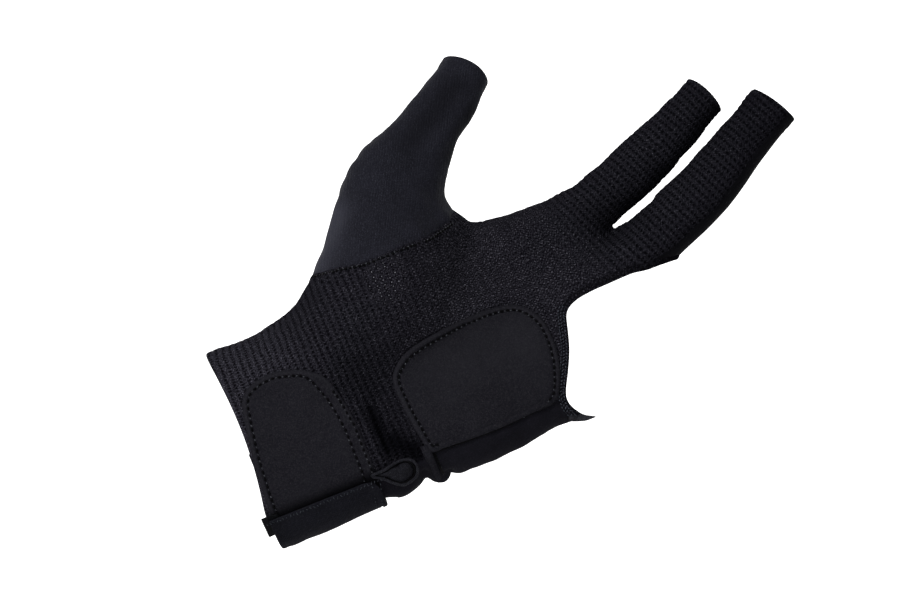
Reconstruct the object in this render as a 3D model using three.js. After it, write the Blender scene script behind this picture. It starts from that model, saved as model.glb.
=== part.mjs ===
import * as THREE from 'three';

// A left-hand billiard glove for the thumb, index and middle fingers, in millimetres.
// It keeps the form of a worn glove. X runs from the wrist opening towards the fingers,
// Z towards the thumb side, and Y from the palm (negative) to the back of the hand.
// The origin is the centre of the wrist opening.

// cloth and layers
const CLOTH = 1.2;
const GAP = 0.3;
const PAD_THICKNESS = 1.0;
const STRAP_THICKNESS = 1.1;
const BINDING_RADIUS = 0.9;
const BINDING_GAP = 0.7;
const HEM_WIDTH = 2.2;
const HEM_THICKNESS = 1.4;
const SEAM_GAP = 0.36;
const CROTCH = [124, 19.5, 71];
const CROTCH_EASE = 0.9;
const CROTCH_REACH = 5;
const LOOP_RADIUS = 0.75;

// wrist opening: the arm leaves along the cuff axis, and the edge is cut in a shallow arc
const CUFF_SLOPE = 22.5;
const CUFF_ARC = 3.5;
const CUFF_ARC_AT = -5;
const CUFF_ARC_REACH = 29;
const STRAP_WIDTH = 37.2;
const STRAP_INSET = 0.2;
const STRAP_BACK_REACH = 4;
const TAPE_REACH = 1.9;
const TAPE_END = 29.4;

// mesh of the form
const GRID_TURN = 46;
const CELL = 5.3;
const FINGER_CELL = 7;
const FINE_CELL = 1.8;
const KNUCKLES_AT = 128;
const FINGER_GAP_AT = -41;
const FINGER_GAP_HALF = 4;
const SHORTEST_SHARE = 0.03;

// Sections of the form that the cloth is stretched over.
// Columns: x, y, z of the centre, half width, half depth, roll in degrees.
const BODY = [
  [-12.6, -3, -5.9, 31, 18.5, 6],
  [0.4, 0, -0.8, 32.4, 18.5, 8],
  [13.8, 1, 4, 32.3, 18.5, 10],
  [27.1, 2, 10.5, 32.8, 18, 13],
  [46, 4, 19.1, 33.7, 17, 17],
  [60.5, 6, 25.5, 37.5, 16, 20],
  [73.4, 9, 32.2, 38.2, 15, 20],
  [87.2, 11, 38.1, 36.6, 14, 20],
  [101.2, 13, 42.3, 36.2, 13.5, 20],
  [110.6, 14, 44.5, 35.2, 12.5, 20],
  [116.4, 14, 43.9, 26.8, 11, 20],
];
const THUMB_BALL = [
  [21, -6, 23.5, 9.2, 9, 0],
  [36.1, -7, 34.6, 10.8, 12, -5],
  [48.4, -5, 51.2, 12.7, 13, -10],
];
const THUMB = [
  [44.5, -1, 46.4, 18.5, 15, -10],
  [46.1, 0, 65.6, 17, 14.5, -20],
  [48.3, 2, 82, 16, 12.5, -25],
  [56.3, 5, 95.1, 11.5, 11.2, -25],
  [64.5, 9, 107.3, 10, 9.8, -25],
  [71.7, 14, 120.2, 7.8, 8.6, -25],
  [75, 17, 126.2, 6.8, 8, -25],
];
const INDEX = [
  [88, 16, 63.6, 8.8, 10.5, 12],
  [104.6, 19, 70.8, 9.3, 10, 12],
  [118.1, 21, 80.8, 9, 9.2, 10],
  [130.1, 23, 92.2, 8.7, 8.6, 8],
  [140.7, 25, 102.9, 7.7, 8, 6],
  [150, 27, 113.3, 7, 7.4, 5],
  [154.3, 28, 118, 6.5, 7, 5],
];
const MIDDLE = [
  [107.2, 10, 48.3, 9.4, 11, 15],
  [123.8, 13, 58, 9.4, 10.5, 15],
  [136.7, 15, 70, 9.7, 10, 14],
  [149.6, 17, 82.4, 9.6, 9.2, 12],
  [162, 20, 97.7, 8.5, 8.6, 10],
  [172.5, 22, 110.3, 8.1, 8.2, 8],
  [176.5, 23, 115.2, 7.8, 7.8, 8],
];
const BODY_SQUARENESS = 2.3;
const LIMB_SQUARENESS = 2;
const BALL_BLEND = 10;
const THUMB_BLEND = 25;
const CROTCH_BLEND = 1.2;
const KNUCKLE_BLEND = 6;

// Folds and gathers of the cloth.
// Columns: x, y, z of one end, x, y, z of the other, reach, height (a valley is negative).
const FOLDS = [
  [51.6, -8, -12.6, 52.4, 10, -12.8, 4.4, 4.4],
  [60.2, -13, -2, 64, -3, -10, 3, 2.2],
  [64, -3, -10, 66, 9, -9, 3, 1.7],
  [43.5, -15, 14.1, 47.3, -14, 5.3, 3.8, -1.8],
  [47.3, -14, 5.3, 51.7, -12, -2.7, 4.2, -2.4],
  [60, 27, 8, 78, 30, 18, 5, 1.4],
  [24, 24, 20, 44, 25, 34, 6, 1.2],
  [58.6, -8, -7.8, 60.2, 10, -11, 2.6, -1.6],
  [65.5, -6, -7.5, 67, 10, -9.8, 2.4, -2.2],
  [68.5, -2, 72.5, 68.5, 14, 72.5, 5, 1.6],
];

// Where the sleeves end. Columns: x, y, z of the middle, then slope and recession of the finger.
const THUMB_END = [71.7, 14, 120.2, 60, 24];
const INDEX_END = [150.2, 27, 113.1, 46, 12];
const MIDDLE_END = [172.3, 22, 110, 53.5, 4];

// Outlines seen from the palm, as x, z pairs.
const THUMB_AREA = [
  [17.6, 54.7], [23.7, 54.7], [31.3, 56.6], [39.2, 58.2], [46.5, 61], [53.2, 63.9],
  [60.5, 66.7], [66.6, 71.5], [69.4, 78.2], [82.8, 81.4], [89.1, 148.1], [17.6, 148.1],
];
const BACK_SIDE_AREA = [
  [107.6, 17.7], [100.6, 13.9], [93.3, 10.4], [83.4, 6], [73.9, 2.5], [64, -0.7],
  [59.9, -3.3], [52.6, -6.5], [42, -11.5], [28.7, -17.3], [12.8, -23.6], [-14, -34],
  [19.1, -55.5], [121, -10.9],
];
const FINGER_SIDE_AREA = [
  [180, 112.3], [176.1, 106.8], [171, 100.1], [162.9, 90], [155.1, 79], [149.3, 72.9],
  [138.6, 63.2], [131.5, 58.7], [121.8, 52.2], [147.7, 46.4], [189.7, 98.1],
];
const HAND_OPENING = [
  [156.2, 55.7], [143.4, 58.4], [134.5, 57], [130, 55.6], [126.2, 55.1], [117.9, 51.8],
  [111.5, 49], [106.7, 46.1], [104.2, 42.9], [104.5, 37.5], [105, 30.5], [104.5, 23.4],
  [103.9, 16.7], [104.6, 13.7], [106.6, 11.5], [109, 10.2], [112, 9.7], [117, 9.2],
  [117, 1.7], [156.2, 1.7],
];
const PALM_PAD = [
  [48.8, 21.6], [50.1, 26.1], [52.9, 29.9], [59.3, 34.3], [68.8, 39.1], [78.6, 42.9],
  [85.9, 44.5], [91.3, 43.5], [96.1, 40.1], [98.9, 35.3], [100.8, 29.9], [101.6, 24.5],
  [101.6, 19.1], [100.2, 14.3], [93.2, 10.9], [83.4, 6.4], [73.9, 2.9], [64.7, -0.2],
  [61.8, -1.5], [60.5, -1.2], [55.8, 6.1], [52, 13.1],
];
const WRIST_PAD = [
  [1.5, 11.7], [1.5, 14.8], [2.8, 17.7], [5.9, 20.5], [10, 22.7], [15.7, 24],
  [21.4, 24], [26.2, 22.7], [29.3, 20.2], [33.1, 14.5], [37.2, 7.2], [40.4, -0.6],
  [42.9, -7.3], [44.1, -14.2], [29, -20.5], [16.4, -25.6], [15.4, -21.2], [11, -18.6],
  [8.5, -14.2], [5.6, -5.4], [3.4, 3.5],
];
// The edge of the closure strap on the palm side, from the wrist to the hand.
const STRAP_EDGE = [[8, -24.8], [10.7, -23.7], [43.4, -10.7], [46, -9.7]];
// The middle line of the loop, seen from the palm.
const LOOP_LINE = [
  [42.2, -9.1], [46, -7.4], [49.2, -5.3], [52.6, -4], [55.2, -4.4], [56.6, -6.4],
  [56.3, -9.1], [54.7, -10.8], [52, -12], [48.9, -11.3], [46, -10.1],
];

const radians = THREE.MathUtils.degToRad;
const clamp = THREE.MathUtils.clamp;
const vec = (x, y, z) => new THREE.Vector3(x, y, z);

function smoothRows(rows, steps) {
  const first = rows[0].map((v, k) => 2 * v - rows[1][k]);
  const last = rows.at(-1).map((v, k) => 2 * v - rows.at(-2)[k]);
  const all = [first, ...rows, last];
  const out = [];
  for (let i = 1; i + 2 < all.length; i += 1) {
    for (let j = 0; j < steps; j += 1) {
      const t = j / steps;
      out.push(all[i].map((b, k) => {
        const [a, c, d] = [all[i - 1][k], all[i + 1][k], all[i + 2][k]];
        return 0.5 * (2 * b + (c - a) * t + (2 * a - 5 * b + 4 * c - d) * t ** 2
          + (3 * b - a - 3 * c + d) * t ** 3);
      }));
    }
  }
  out.push(rows.at(-1));
  return out;
}

function makeLimb(rows, squareness) {
  const smooth = smoothRows(rows, 4);
  const sections = smooth.map(([x, y, z, width, depth, roll], i) => {
    const before = smooth[Math.max(i - 1, 0)];
    const after = smooth[Math.min(i + 1, smooth.length - 1)];
    const along = vec(after[0] - before[0], after[1] - before[1], after[2] - before[2]).normalize();
    const side = vec(0, 1, 0).cross(along).normalize();
    const back = along.clone().cross(side);
    const turn = radians(roll);
    return {
      at: vec(x, y, z), width, depth, along,
      side: side.clone().multiplyScalar(Math.cos(turn)).addScaledVector(back, -Math.sin(turn)),
      back: back.clone().multiplyScalar(Math.cos(turn)).addScaledVector(side, Math.sin(turn)),
    };
  });
  sections.forEach((section, i) => {
    const next = sections[Math.min(i + 1, sections.length - 1)];
    section.step = next.at.clone().sub(section.at);
    section.stepSquared = section.step.lengthSq();
    section.reach = Math.max(section.width, section.depth, next.width, next.depth);
  });
  return { sections, squareness };
}

function limbDistance({ sections, squareness: n }, p) {
  let nearest = Infinity;
  for (let i = 0; i + 1 < sections.length; i += 1) {
    const [a, b] = [sections[i], sections[i + 1]];
    let [x, y, z] = [p.x - a.at.x, p.y - a.at.y, p.z - a.at.z];
    const t = clamp((x * a.step.x + y * a.step.y + z * a.step.z) / a.stepSquared, 0, 1);
    x -= t * a.step.x;
    y -= t * a.step.y;
    z -= t * a.step.z;
    if (Math.hypot(x, y, z) > nearest + a.reach + 6) continue;
    const along = (from) => x * from.x + y * from.y + z * from.z;
    const width = a.width + t * (b.width - a.width);
    const depth = a.depth + t * (b.depth - a.depth);
    const across = Math.abs(along(a.side) * (1 - t) + along(b.side) * t);
    const through = Math.abs(along(a.back) * (1 - t) + along(b.back) * t);
    const beyond = Math.abs(along(a.along) * (1 - t) + along(b.along) * t);
    const ratio = ((across / width) ** n + (through / depth) ** n + (beyond / depth) ** n) ** (1 / n);
    let distance = -Math.min(width, depth) * (1 - ratio);
    if (ratio > 0.3) {
      const slant = Math.hypot(
        across ** (n - 1) / width ** n, through ** (n - 1) / depth ** n, beyond ** (n - 1) / depth ** n,
      ) / ratio ** (n - 1);
      distance = (ratio - 1) / slant;
    }
    nearest = Math.min(nearest, distance);
  }
  return nearest;
}

function smoothMin(a, b, blend) {
  const h = clamp(0.5 + 0.5 * (b - a) / blend, 0, 1);
  return b * (1 - h) + a * h - blend * h * (1 - h);
}

function foldRise({ from, step, reach, height }, p) {
  let [x, y, z] = [p.x - from.x, p.y - from.y, p.z - from.z];
  const t = clamp((x * step.x + y * step.y + z * step.z) / step.lengthSq(), 0, 1);
  [x, y, z] = [x - t * step.x, y - t * step.y, z - t * step.z];
  return height * Math.exp(-(x * x + y * y + z * z) / (reach * reach));
}

const body = makeLimb(BODY, BODY_SQUARENESS);
const thumbBall = makeLimb(THUMB_BALL, LIMB_SQUARENESS);
const thumb = makeLimb(THUMB, LIMB_SQUARENESS);
const index = makeLimb(INDEX, LIMB_SQUARENESS);
const middle = makeLimb(MIDDLE, LIMB_SQUARENESS);
const folds = FOLDS.map(([x0, y0, z0, x1, y1, z1, reach, height]) => (
  { from: vec(x0, y0, z0), step: vec(x1 - x0, y1 - y0, z1 - z0), reach, height }
));

function form(p) {
  const fingers = smoothMin(limbDistance(index, p), limbDistance(middle, p), CROTCH_BLEND);
  let f = smoothMin(limbDistance(body, p), limbDistance(thumbBall, p), BALL_BLEND);
  f = smoothMin(f, fingers, KNUCKLE_BLEND);
  f = smoothMin(f, limbDistance(thumb, p), THUMB_BLEND);
  for (const fold of folds) f -= foldRise(fold, p);
  return f;
}

function slope(f, p) {
  const e = 0.05;
  const q = p.clone();
  const d = ['x', 'y', 'z'].map((axis) => {
    q[axis] = p[axis] + e;
    const high = f(q);
    q[axis] = p[axis] - e;
    const low = f(q);
    q[axis] = p[axis];
    return (high - low) / (2 * e);
  });
  return vec(...d);
}

function settle(p, rounds = 5) {
  for (let i = 0; i < rounds; i += 1) {
    const g = slope(form, p);
    p.addScaledVector(g, clamp(-form(p), -2, 2) / Math.max(g.lengthSq(), 0.2));
  }
  return p;
}

function gridLines(from, to, step) {
  const lines = [from];
  while (lines.at(-1) < to) lines.push(lines.at(-1) + step(lines.at(-1)));
  return lines;
}

function meshForm() {
  const turn = radians(GRID_TURN);
  const nearGap = (v) => Math.abs(v + FINE_CELL / 2 - FINGER_GAP_AT) < FINGER_GAP_HALF;
  const us = gridLines(-44, 212, (u) => (u < KNUCKLES_AT ? CELL : FINGER_CELL));
  const vs = gridLines(-83.3, 76, (v) => (nearGap(v) ? FINE_CELL : CELL));
  const ys = gridLines(-34.4, 48, () => CELL);
  const place = (i, j, k) => vec(
    us[i] * Math.cos(turn) - vs[j] * Math.sin(turn), ys[k], us[i] * Math.sin(turn) + vs[j] * Math.cos(turn),
  );
  const slot = (i, j, k) => (i * vs.length + j) * ys.length + k;
  const values = new Float64Array(us.length * vs.length * ys.length);
  for (let i = 0; i < us.length; i += 1) {
    for (let j = 0; j < vs.length; j += 1) {
      for (let k = 0; k < ys.length; k += 1) values[slot(i, j, k)] = form(place(i, j, k));
    }
  }
  const corners = [0, 1, 2, 3, 4, 5, 6, 7].map((n) => [n & 1, (n >> 1) & 1, n >> 2]);
  const points = [];
  const cells = new Map();
  const cellPoint = (i, j, k) => {
    const key = slot(i, j, k);
    if (cells.has(key)) return cells.get(key);
    const sum = vec(0, 0, 0);
    let count = 0;
    for (let a = 0; a < 8; a += 1) {
      for (let axis = 1; axis < 8; axis *= 2) {
        const b = a | axis;
        if (b === a) continue;
        const [ca, cb] = [corners[a], corners[b]].map(([x, y, z]) => [i + x, j + y, k + z]);
        const [va, vb] = [values[slot(...ca)], values[slot(...cb)]];
        if (va < 0 === vb < 0) continue;
        sum.add(place(...ca).lerp(place(...cb), va / (va - vb)));
        count += 1;
      }
    }
    cells.set(key, points.length);
    points.push(sum.divideScalar(count));
    return points.length - 1;
  };
  const quads = [];
  for (let i = 1; i + 1 < us.length; i += 1) {
    for (let j = 1; j + 1 < vs.length; j += 1) {
      for (let k = 1; k + 1 < ys.length; k += 1) {
        const inside = values[slot(i, j, k)] < 0;
        const around = [
          [[1, 0, 0], [[0, 0, 0], [0, -1, 0], [0, -1, -1], [0, 0, -1]]],
          [[0, 1, 0], [[0, 0, 0], [0, 0, -1], [-1, 0, -1], [-1, 0, 0]]],
          [[0, 0, 1], [[0, 0, 0], [-1, 0, 0], [-1, -1, 0], [0, -1, 0]]],
        ];
        for (const [[a, b, c], offsets] of around) {
          if (inside === values[slot(i + a, j + b, k + c)] < 0) continue;
          const quad = offsets.map(([x, y, z]) => cellPoint(i + x, j + y, k + z));
          quads.push(inside ? quad.reverse() : quad);
        }
      }
    }
  }
  return { points, quads };
}

function relax(points, quads, rounds) {
  for (let round = 0; round < rounds; round += 1) {
    const sums = points.map(() => vec(0, 0, 0));
    const counts = points.map(() => 0);
    for (const quad of quads) {
      quad.forEach((a, n) => {
        sums[a].add(points[quad[(n + 1) % 4]]).add(points[quad[(n + 3) % 4]]);
        counts[a] += 2;
      });
    }
    points.forEach((p, i) => settle(p.lerp(sums[i].divideScalar(counts[i]), 0.5), 3));
  }
}

function makeBase() {
  const { points, quads } = meshForm();
  points.forEach((p) => settle(p));
  relax(points, quads, 3);
  const triangles = quads.flatMap(([a, b, c, d]) => (
    points[a].distanceTo(points[c]) < points[b].distanceTo(points[d])
      ? [[a, b, c], [a, c, d]] : [[b, c, d], [b, d, a]]
  ));
  const facing = vec(0, 0, 0).crossVectors(
    points[triangles[0][1]].clone().sub(points[triangles[0][0]]),
    points[triangles[0][2]].clone().sub(points[triangles[0][0]]),
  ).dot(slope(form, points[triangles[0][0]]));
  return { points, triangles: facing > 0 ? triangles : triangles.map(([a, b, c]) => [a, c, b]) };
}

function insideDistance(outline, x, z) {
  let inside = false;
  let nearest = Infinity;
  for (let i = 0, j = outline.length - 1; i < outline.length; j = i, i += 1) {
    const [[ax, az], [bx, bz]] = [outline[i], outline[j]];
    if (az > z !== bz > z && x < (bx - ax) * (z - az) / (bz - az) + ax) inside = !inside;
    const [dx, dz] = [bx - ax, bz - az];
    const t = clamp(((x - ax) * dx + (z - az) * dz) / (dx * dx + dz * dz), 0, 1);
    nearest = Math.min(nearest, Math.hypot(x - ax - t * dx, z - az - t * dz));
  }
  return inside ? nearest : -nearest;
}

function closeRound(outline, steps) {
  const curve = new THREE.CatmullRomCurve3(outline.map(([x, z]) => vec(x, 0, z)), true, 'centripetal');
  return curve.getPoints(outline.length * steps).slice(1).map((p) => [p.x, p.z]);
}

// Keeps the part of a mesh where the distance is positive, with its edge on the zero line.
// Points near the line slide onto it, but not those of an edge that an earlier cut made.
function cut(mesh, distance) {
  const points = mesh.points.map((p) => p.clone());
  const edged = boundaryEdges(mesh.triangles);
  const shortest = points.map(() => Infinity);
  for (const triangle of mesh.triangles) {
    triangle.forEach((a, n) => {
      const b = triangle[(n + 1) % 3];
      const length = points[a].distanceTo(points[b]);
      shortest[a] = Math.min(shortest[a], length);
      shortest[b] = Math.min(shortest[b], length);
    });
  }
  const values = points.map((p, i) => {
    const value = distance(p);
    if (edged.has(i)) return Math.abs(value) < 0.02 ? 0 : value;
    if (Math.abs(value) > 0.35 * shortest[i]) return value;
    const out = slope(form, p).normalize();
    const g = slope(distance, p);
    g.addScaledVector(out, -g.dot(out));
    if (g.lengthSq() < 0.1 || Math.abs(value) / g.length() > 0.45 * shortest[i]) {
      return Math.abs(value) < 1e-6 ? 0 : value;
    }
    p.addScaledVector(g, -value / g.lengthSq());
    settle(p, 2);
    return 0;
  });
  for (const triangle of mesh.triangles) {
    triangle.forEach((a, n) => {
      const b = triangle[(n + 1) % 3];
      if (values[a] * values[b] >= 0) return;
      const t = values[a] / (values[a] - values[b]);
      if (t < SHORTEST_SHARE) values[a] = 0;
      else if (t > 1 - SHORTEST_SHARE) values[b] = 0;
    });
  }
  const edges = new Map();
  const crossing = (a, b) => {
    const key = a < b ? `${a} ${b}` : `${b} ${a}`;
    if (!edges.has(key)) {
      edges.set(key, points.length);
      const p = points[a].clone().lerp(points[b], values[a] / (values[a] - values[b]));
      points.push(settle(p, 2));
    }
    return edges.get(key);
  };
  const triangles = [];
  for (const triangle of mesh.triangles) {
    if (triangle.every((a) => values[a] <= 0)) continue;
    const ring = [];
    triangle.forEach((a, n) => {
      const b = triangle[(n + 1) % 3];
      if (values[a] >= 0) ring.push(a);
      if (values[a] * values[b] < 0) ring.push(crossing(a, b));
    });
    for (let n = 1; n + 1 < ring.length; n += 1) triangles.push([ring[0], ring[n], ring[n + 1]]);
  }
  return { points, triangles };
}

// Keeps the largest connected part, so that a cut leaves no crumb of cloth.
function largestPart({ points, triangles }) {
  const root = points.map((_, i) => i);
  const find = (a) => {
    let at = a;
    while (root[at] !== at) {
      root[at] = root[root[at]];
      at = root[at];
    }
    return at;
  };
  for (const [a, b, c] of triangles) {
    root[find(a)] = find(b);
    root[find(b)] = find(c);
  }
  const sizes = new Map();
  for (const [a] of triangles) sizes.set(find(a), (sizes.get(find(a)) || 0) + 1);
  const [largest] = [...sizes].sort((one, other) => other[1] - one[1])[0];
  return { points, triangles: triangles.filter(([a]) => find(a) === largest) };
}

function cutAll(mesh, distances) {
  return largestPart(distances.reduce((piece, distance) => cut(piece, distance), mesh));
}

function boundaryEdges(triangles) {
  const seen = new Set();
  for (const triangle of triangles) triangle.forEach((a, n) => seen.add(`${a} ${triangle[(n + 1) % 3]}`));
  const next = new Map();
  for (const key of seen) {
    const [a, b] = key.split(' ').map(Number);
    if (!seen.has(`${b} ${a}`)) next.set(a, b);
  }
  return next;
}

function boundaryLoops(triangles) {
  const next = boundaryEdges(triangles);
  const loops = [];
  while (next.size) {
    const loop = [];
    let at = next.keys().next().value;
    while (next.has(at)) {
      loop.push(at);
      const to = next.get(at);
      next.delete(at);
      at = to;
    }
    loops.push(loop);
  }
  return loops;
}

function makeGeometry(points, triangles) {
  const geometry = new THREE.BufferGeometry();
  const used = new Map();
  const flat = [];
  const order = triangles.flat().map((a) => {
    if (!used.has(a)) {
      used.set(a, used.size);
      flat.push(...points[a].toArray());
    }
    return used.get(a);
  });
  geometry.setAttribute('position', new THREE.Float32BufferAttribute(flat, 3));
  geometry.setIndex(order);
  geometry.computeVertexNormals();
  return geometry;
}

// A layer of cloth between two heights over the form, closed round its edges.
function layer(piece, low, high) {
  const outward = piece.points.map((p) => slope(form, p).normalize());
  const lift = (height) => piece.points.map((p, i) => (
    p.clone().addScaledVector(outward[i], typeof height === 'function' ? height(p) : height)
  ));
  const count = piece.points.length;
  const triangles = piece.triangles.flatMap(([a, b, c]) => [[a, b, c], [a + count, c + count, b + count]]);
  for (const [a, b] of boundaryEdges(piece.triangles)) {
    triangles.push([b, a, a + count], [b, a + count, b + count]);
  }
  return makeGeometry([...lift(high), ...lift(low)], triangles);
}

// A closed band of even section along a closed line. Each point has two unit directions.
function sweepLoop(line, section) {
  const points = line.flatMap(({ at, side, up }) => (
    section.map(([s, u]) => at.clone().addScaledVector(side, s).addScaledVector(up, u))
  ));
  const n = section.length;
  const triangles = [];
  for (let i = 0; i < line.length; i += 1) {
    const j = (i + 1) % line.length;
    for (let k = 0; k < n; k += 1) {
      const m = (k + 1) % n;
      triangles.push([i * n + k, j * n + k, j * n + m], [i * n + k, j * n + m, i * n + m]);
    }
  }
  const signed = triangles.reduce((sum, [a, b, c]) => (
    sum + points[a].dot(vec(0, 0, 0).crossVectors(points[b], points[c]))
  ), 0);
  return makeGeometry(points, signed > 0 ? triangles : triangles.map(([a, b, c]) => [a, c, b]));
}

// A round-cornered section that reaches its full half sizes.
function band(halfSide, halfUp) {
  const corners = [[1, 0.5], [0.5, 1], [-0.5, 1], [-1, 0.5], [-1, -0.5], [-0.5, -1], [0.5, -1], [1, -0.5]];
  return corners.map(([side, up]) => [side * halfSide, up * halfUp]);
}

function round(radius, count) {
  return Array.from({ length: count }, (_, i) => {
    const angle = 2 * Math.PI * i / count;
    return [radius * Math.cos(angle), radius * Math.sin(angle)];
  });
}

// The edge of a piece as an even line, with directions away from the cloth and out of it.
function edgeLine(piece, loop, spacing, away) {
  const curve = new THREE.CatmullRomCurve3(loop.map((i) => piece.points[i]), true, 'centripetal');
  curve.arcLengthDivisions = 1200;
  const count = Math.round(curve.getLength() / spacing);
  return Array.from({ length: count }, (_, i) => {
    const at = settle(curve.getPointAt(i / count), 3);
    const up = slope(form, at).normalize();
    const side = curve.getTangentAt(i / count).cross(up).normalize();
    return { at: at.addScaledVector(side, away).addScaledVector(up, -CLOTH / 2), side, up };
  });
}

const cuff = vec(Math.cos(radians(CUFF_SLOPE)), 0, Math.sin(radians(CUFF_SLOPE)));
const ulnar = vec(cuff.z, 0, -cuff.x);
const fromWrist = (p) => {
  const across = (p.dot(ulnar) - CUFF_ARC_AT) / CUFF_ARC_REACH;
  return p.dot(cuff) - CUFF_ARC * Math.max(0, 1 - across ** 2) - 0.03 * p.y;
};
const beforeEnd = ([x, y, z, rise, recede]) => {
  const [a, b] = [radians(rise), radians(recede)];
  const out = vec(Math.cos(a) * Math.cos(b), Math.sin(b), Math.sin(a) * Math.cos(b));
  return (p) => out.dot(vec(x, y, z)) - out.dot(p);
};
const thumbEnd = beforeEnd(THUMB_END);
const indexEnd = beforeEnd(INDEX_END);
const middleEnd = beforeEnd(MIDDLE_END);
const isThumb = (p) => insideDistance(THUMB_AREA, p.x, p.z);
const openingEdge = closeRound(HAND_OPENING, 4);
const outsideOpening = (p) => -insideDistance(openingEdge, p.x, p.z) - 0.01 * p.y;
const backSide = (p) => insideDistance(BACK_SIDE_AREA, p.x, p.z);
const fingerSide = (p) => insideDistance(FINGER_SIDE_AREA, p.x, p.z);

// The two panels meet along the sides of the hand, a little behind the middle of its depth.
function panelSeamDepth(p) {
  const fingers = [index, middle].map((limb) => {
    let best = { d: Infinity, y: 0 };
    for (const { at, width } of limb.sections) {
      const d = Math.hypot(p.x - at.x, p.z - at.z) - width;
      if (d < best.d) best = { d, y: at.y };
    }
    return best;
  });
  const palm = 2 + 0.1 * p.x + 0.18 * p.z;
  const near = fingers[0].d < fingers[1].d ? fingers[0] : fingers[1];
  const share = clamp(1 - (near.d + 2) / 14, 0, 1);
  return palm * (1 - share) + (near.y + 2.5) * share;
}
const palmSide = (p) => Math.min(panelSeamDepth(p) - p.y, -backSide(p), -fingerSide(p));
const pastThumbSeam = (p) => -isThumb(p);

const base = makeBase();
const sleeveEnd = (p) => (p.x + p.z < 150 ? 10 : (p.x - p.z > 51 ? middleEnd(p) : indexEnd(p)));
const shifted = (f, by) => (p) => f(p) - by;

const openCloth = [
  shifted(fromWrist, HEM_WIDTH + GAP), shifted(outsideOpening, 2 * BINDING_RADIUS + BINDING_GAP), sleeveEnd,
  shifted(pastThumbSeam, GAP / 2),
];
const thumbSleeve = cutAll(base, [shifted(isThumb, GAP / 2), thumbEnd]);
const seamEase = (p) => (
  SEAM_GAP / 2 + CROTCH_EASE * Math.exp(-p.distanceToSquared(vec(...CROTCH)) / CROTCH_REACH ** 2)
);
const palmPanel = cutAll(base, [...openCloth, (p) => palmSide(p) - seamEase(p)]);
const backPanel = cutAll(base, [...openCloth, (p) => -palmSide(p) - seamEase(p)]);

const onPalm = (p) => panelSeamDepth(p) - 8 - p.y;
const pad = (outline) => {
  const edge = closeRound(outline, 3);
  return (p) => insideDistance(edge, p.x, p.z);
};
const alongCuff = (p) => p.dot(cuff);
const strapEdgeAt = (p) => {
  const [a, b] = [STRAP_EDGE[0], STRAP_EDGE.at(-1)];
  const across = vec(b[1] - a[1], 0, a[0] - b[0]).normalize();
  return across.dot(vec(p.x - a[0], 0, p.z - a[1]));
};
const strapWrap = (p) => {
  const share = THREE.MathUtils.smoothstep(p.y, -6, 10);
  return strapEdgeAt(p) * (1 - share) + (p.dot(ulnar) - STRAP_BACK_REACH) * share;
};
const palmPad = cutAll(base, [onPalm, pad(PALM_PAD)]);
const wristPad = cutAll(base, [onPalm, pad(WRIST_PAD), (p) => 4 - strapEdgeAt(p)]);
const closureStrap = cutAll(base, [
  (p) => alongCuff(p) - STRAP_INSET,
  (p) => smoothMin(STRAP_INSET + STRAP_WIDTH - alongCuff(p), strapWrap(p), 5),
]);
const hookTape = cutAll(base, [
  (p) => alongCuff(p) + TAPE_REACH, (p) => 3.6 - alongCuff(p), (p) => strapEdgeAt(p) + 1,
  (p) => Math.min(TAPE_END - p.dot(ulnar), 9 - strapEdgeAt(p) - Math.max(p.y + 8, 0)),
]);

const padLow = GAP;
const padHigh = GAP + PAD_THICKNESS;
const strapLow = padHigh + GAP;
const strapHigh = strapLow + STRAP_THICKNESS;

const openingPiece = cut(base, shifted(outsideOpening, 2 * BINDING_RADIUS + BINDING_GAP));
const cuffPiece = cut(base, shifted(fromWrist, HEM_WIDTH + GAP));
const longest = (piece) => boundaryLoops(piece.triangles).sort((a, b) => b.length - a.length)[0];
const bindingLine = edgeLine(openingPiece, longest(openingPiece), 2.8, BINDING_GAP + BINDING_RADIUS);
const hemLine = edgeLine(cuffPiece, longest(cuffPiece), 5, GAP + HEM_WIDTH / 2);

// The loop stands on the cloth at its stem and rises from it at its round end.
function loopLine() {
  const curve = new THREE.CatmullRomCurve3(LOOP_LINE.map(([x, z]) => vec(x, 0, z)), true, 'centripetal');
  const count = 30;
  return Array.from({ length: count }, (_, i) => {
    const p = curve.getPointAt(i / count);
    let y = -40;
    while (form(vec(p.x, y, p.z)) > 0 && y < 20) y += 0.25;
    const rise = 0.12 * (p.x - LOOP_LINE[0][0]);
    p.y = y - strapLow - LOOP_RADIUS - rise;
    const tangent = curve.getTangentAt(i / count);
    const up = vec(0, -1, 0);
    return { at: p, side: tangent.cross(up).normalize(), up };
  });
}

const cloth = (colour, roughness) => new THREE.MeshStandardMaterial({ color: colour, roughness, metalness: 0 });
const glove = new THREE.Group();
function add(name, geometry, material) {
  const mesh = new THREE.Mesh(geometry, material);
  mesh.name = name;
  glove.add(mesh);
}

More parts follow.
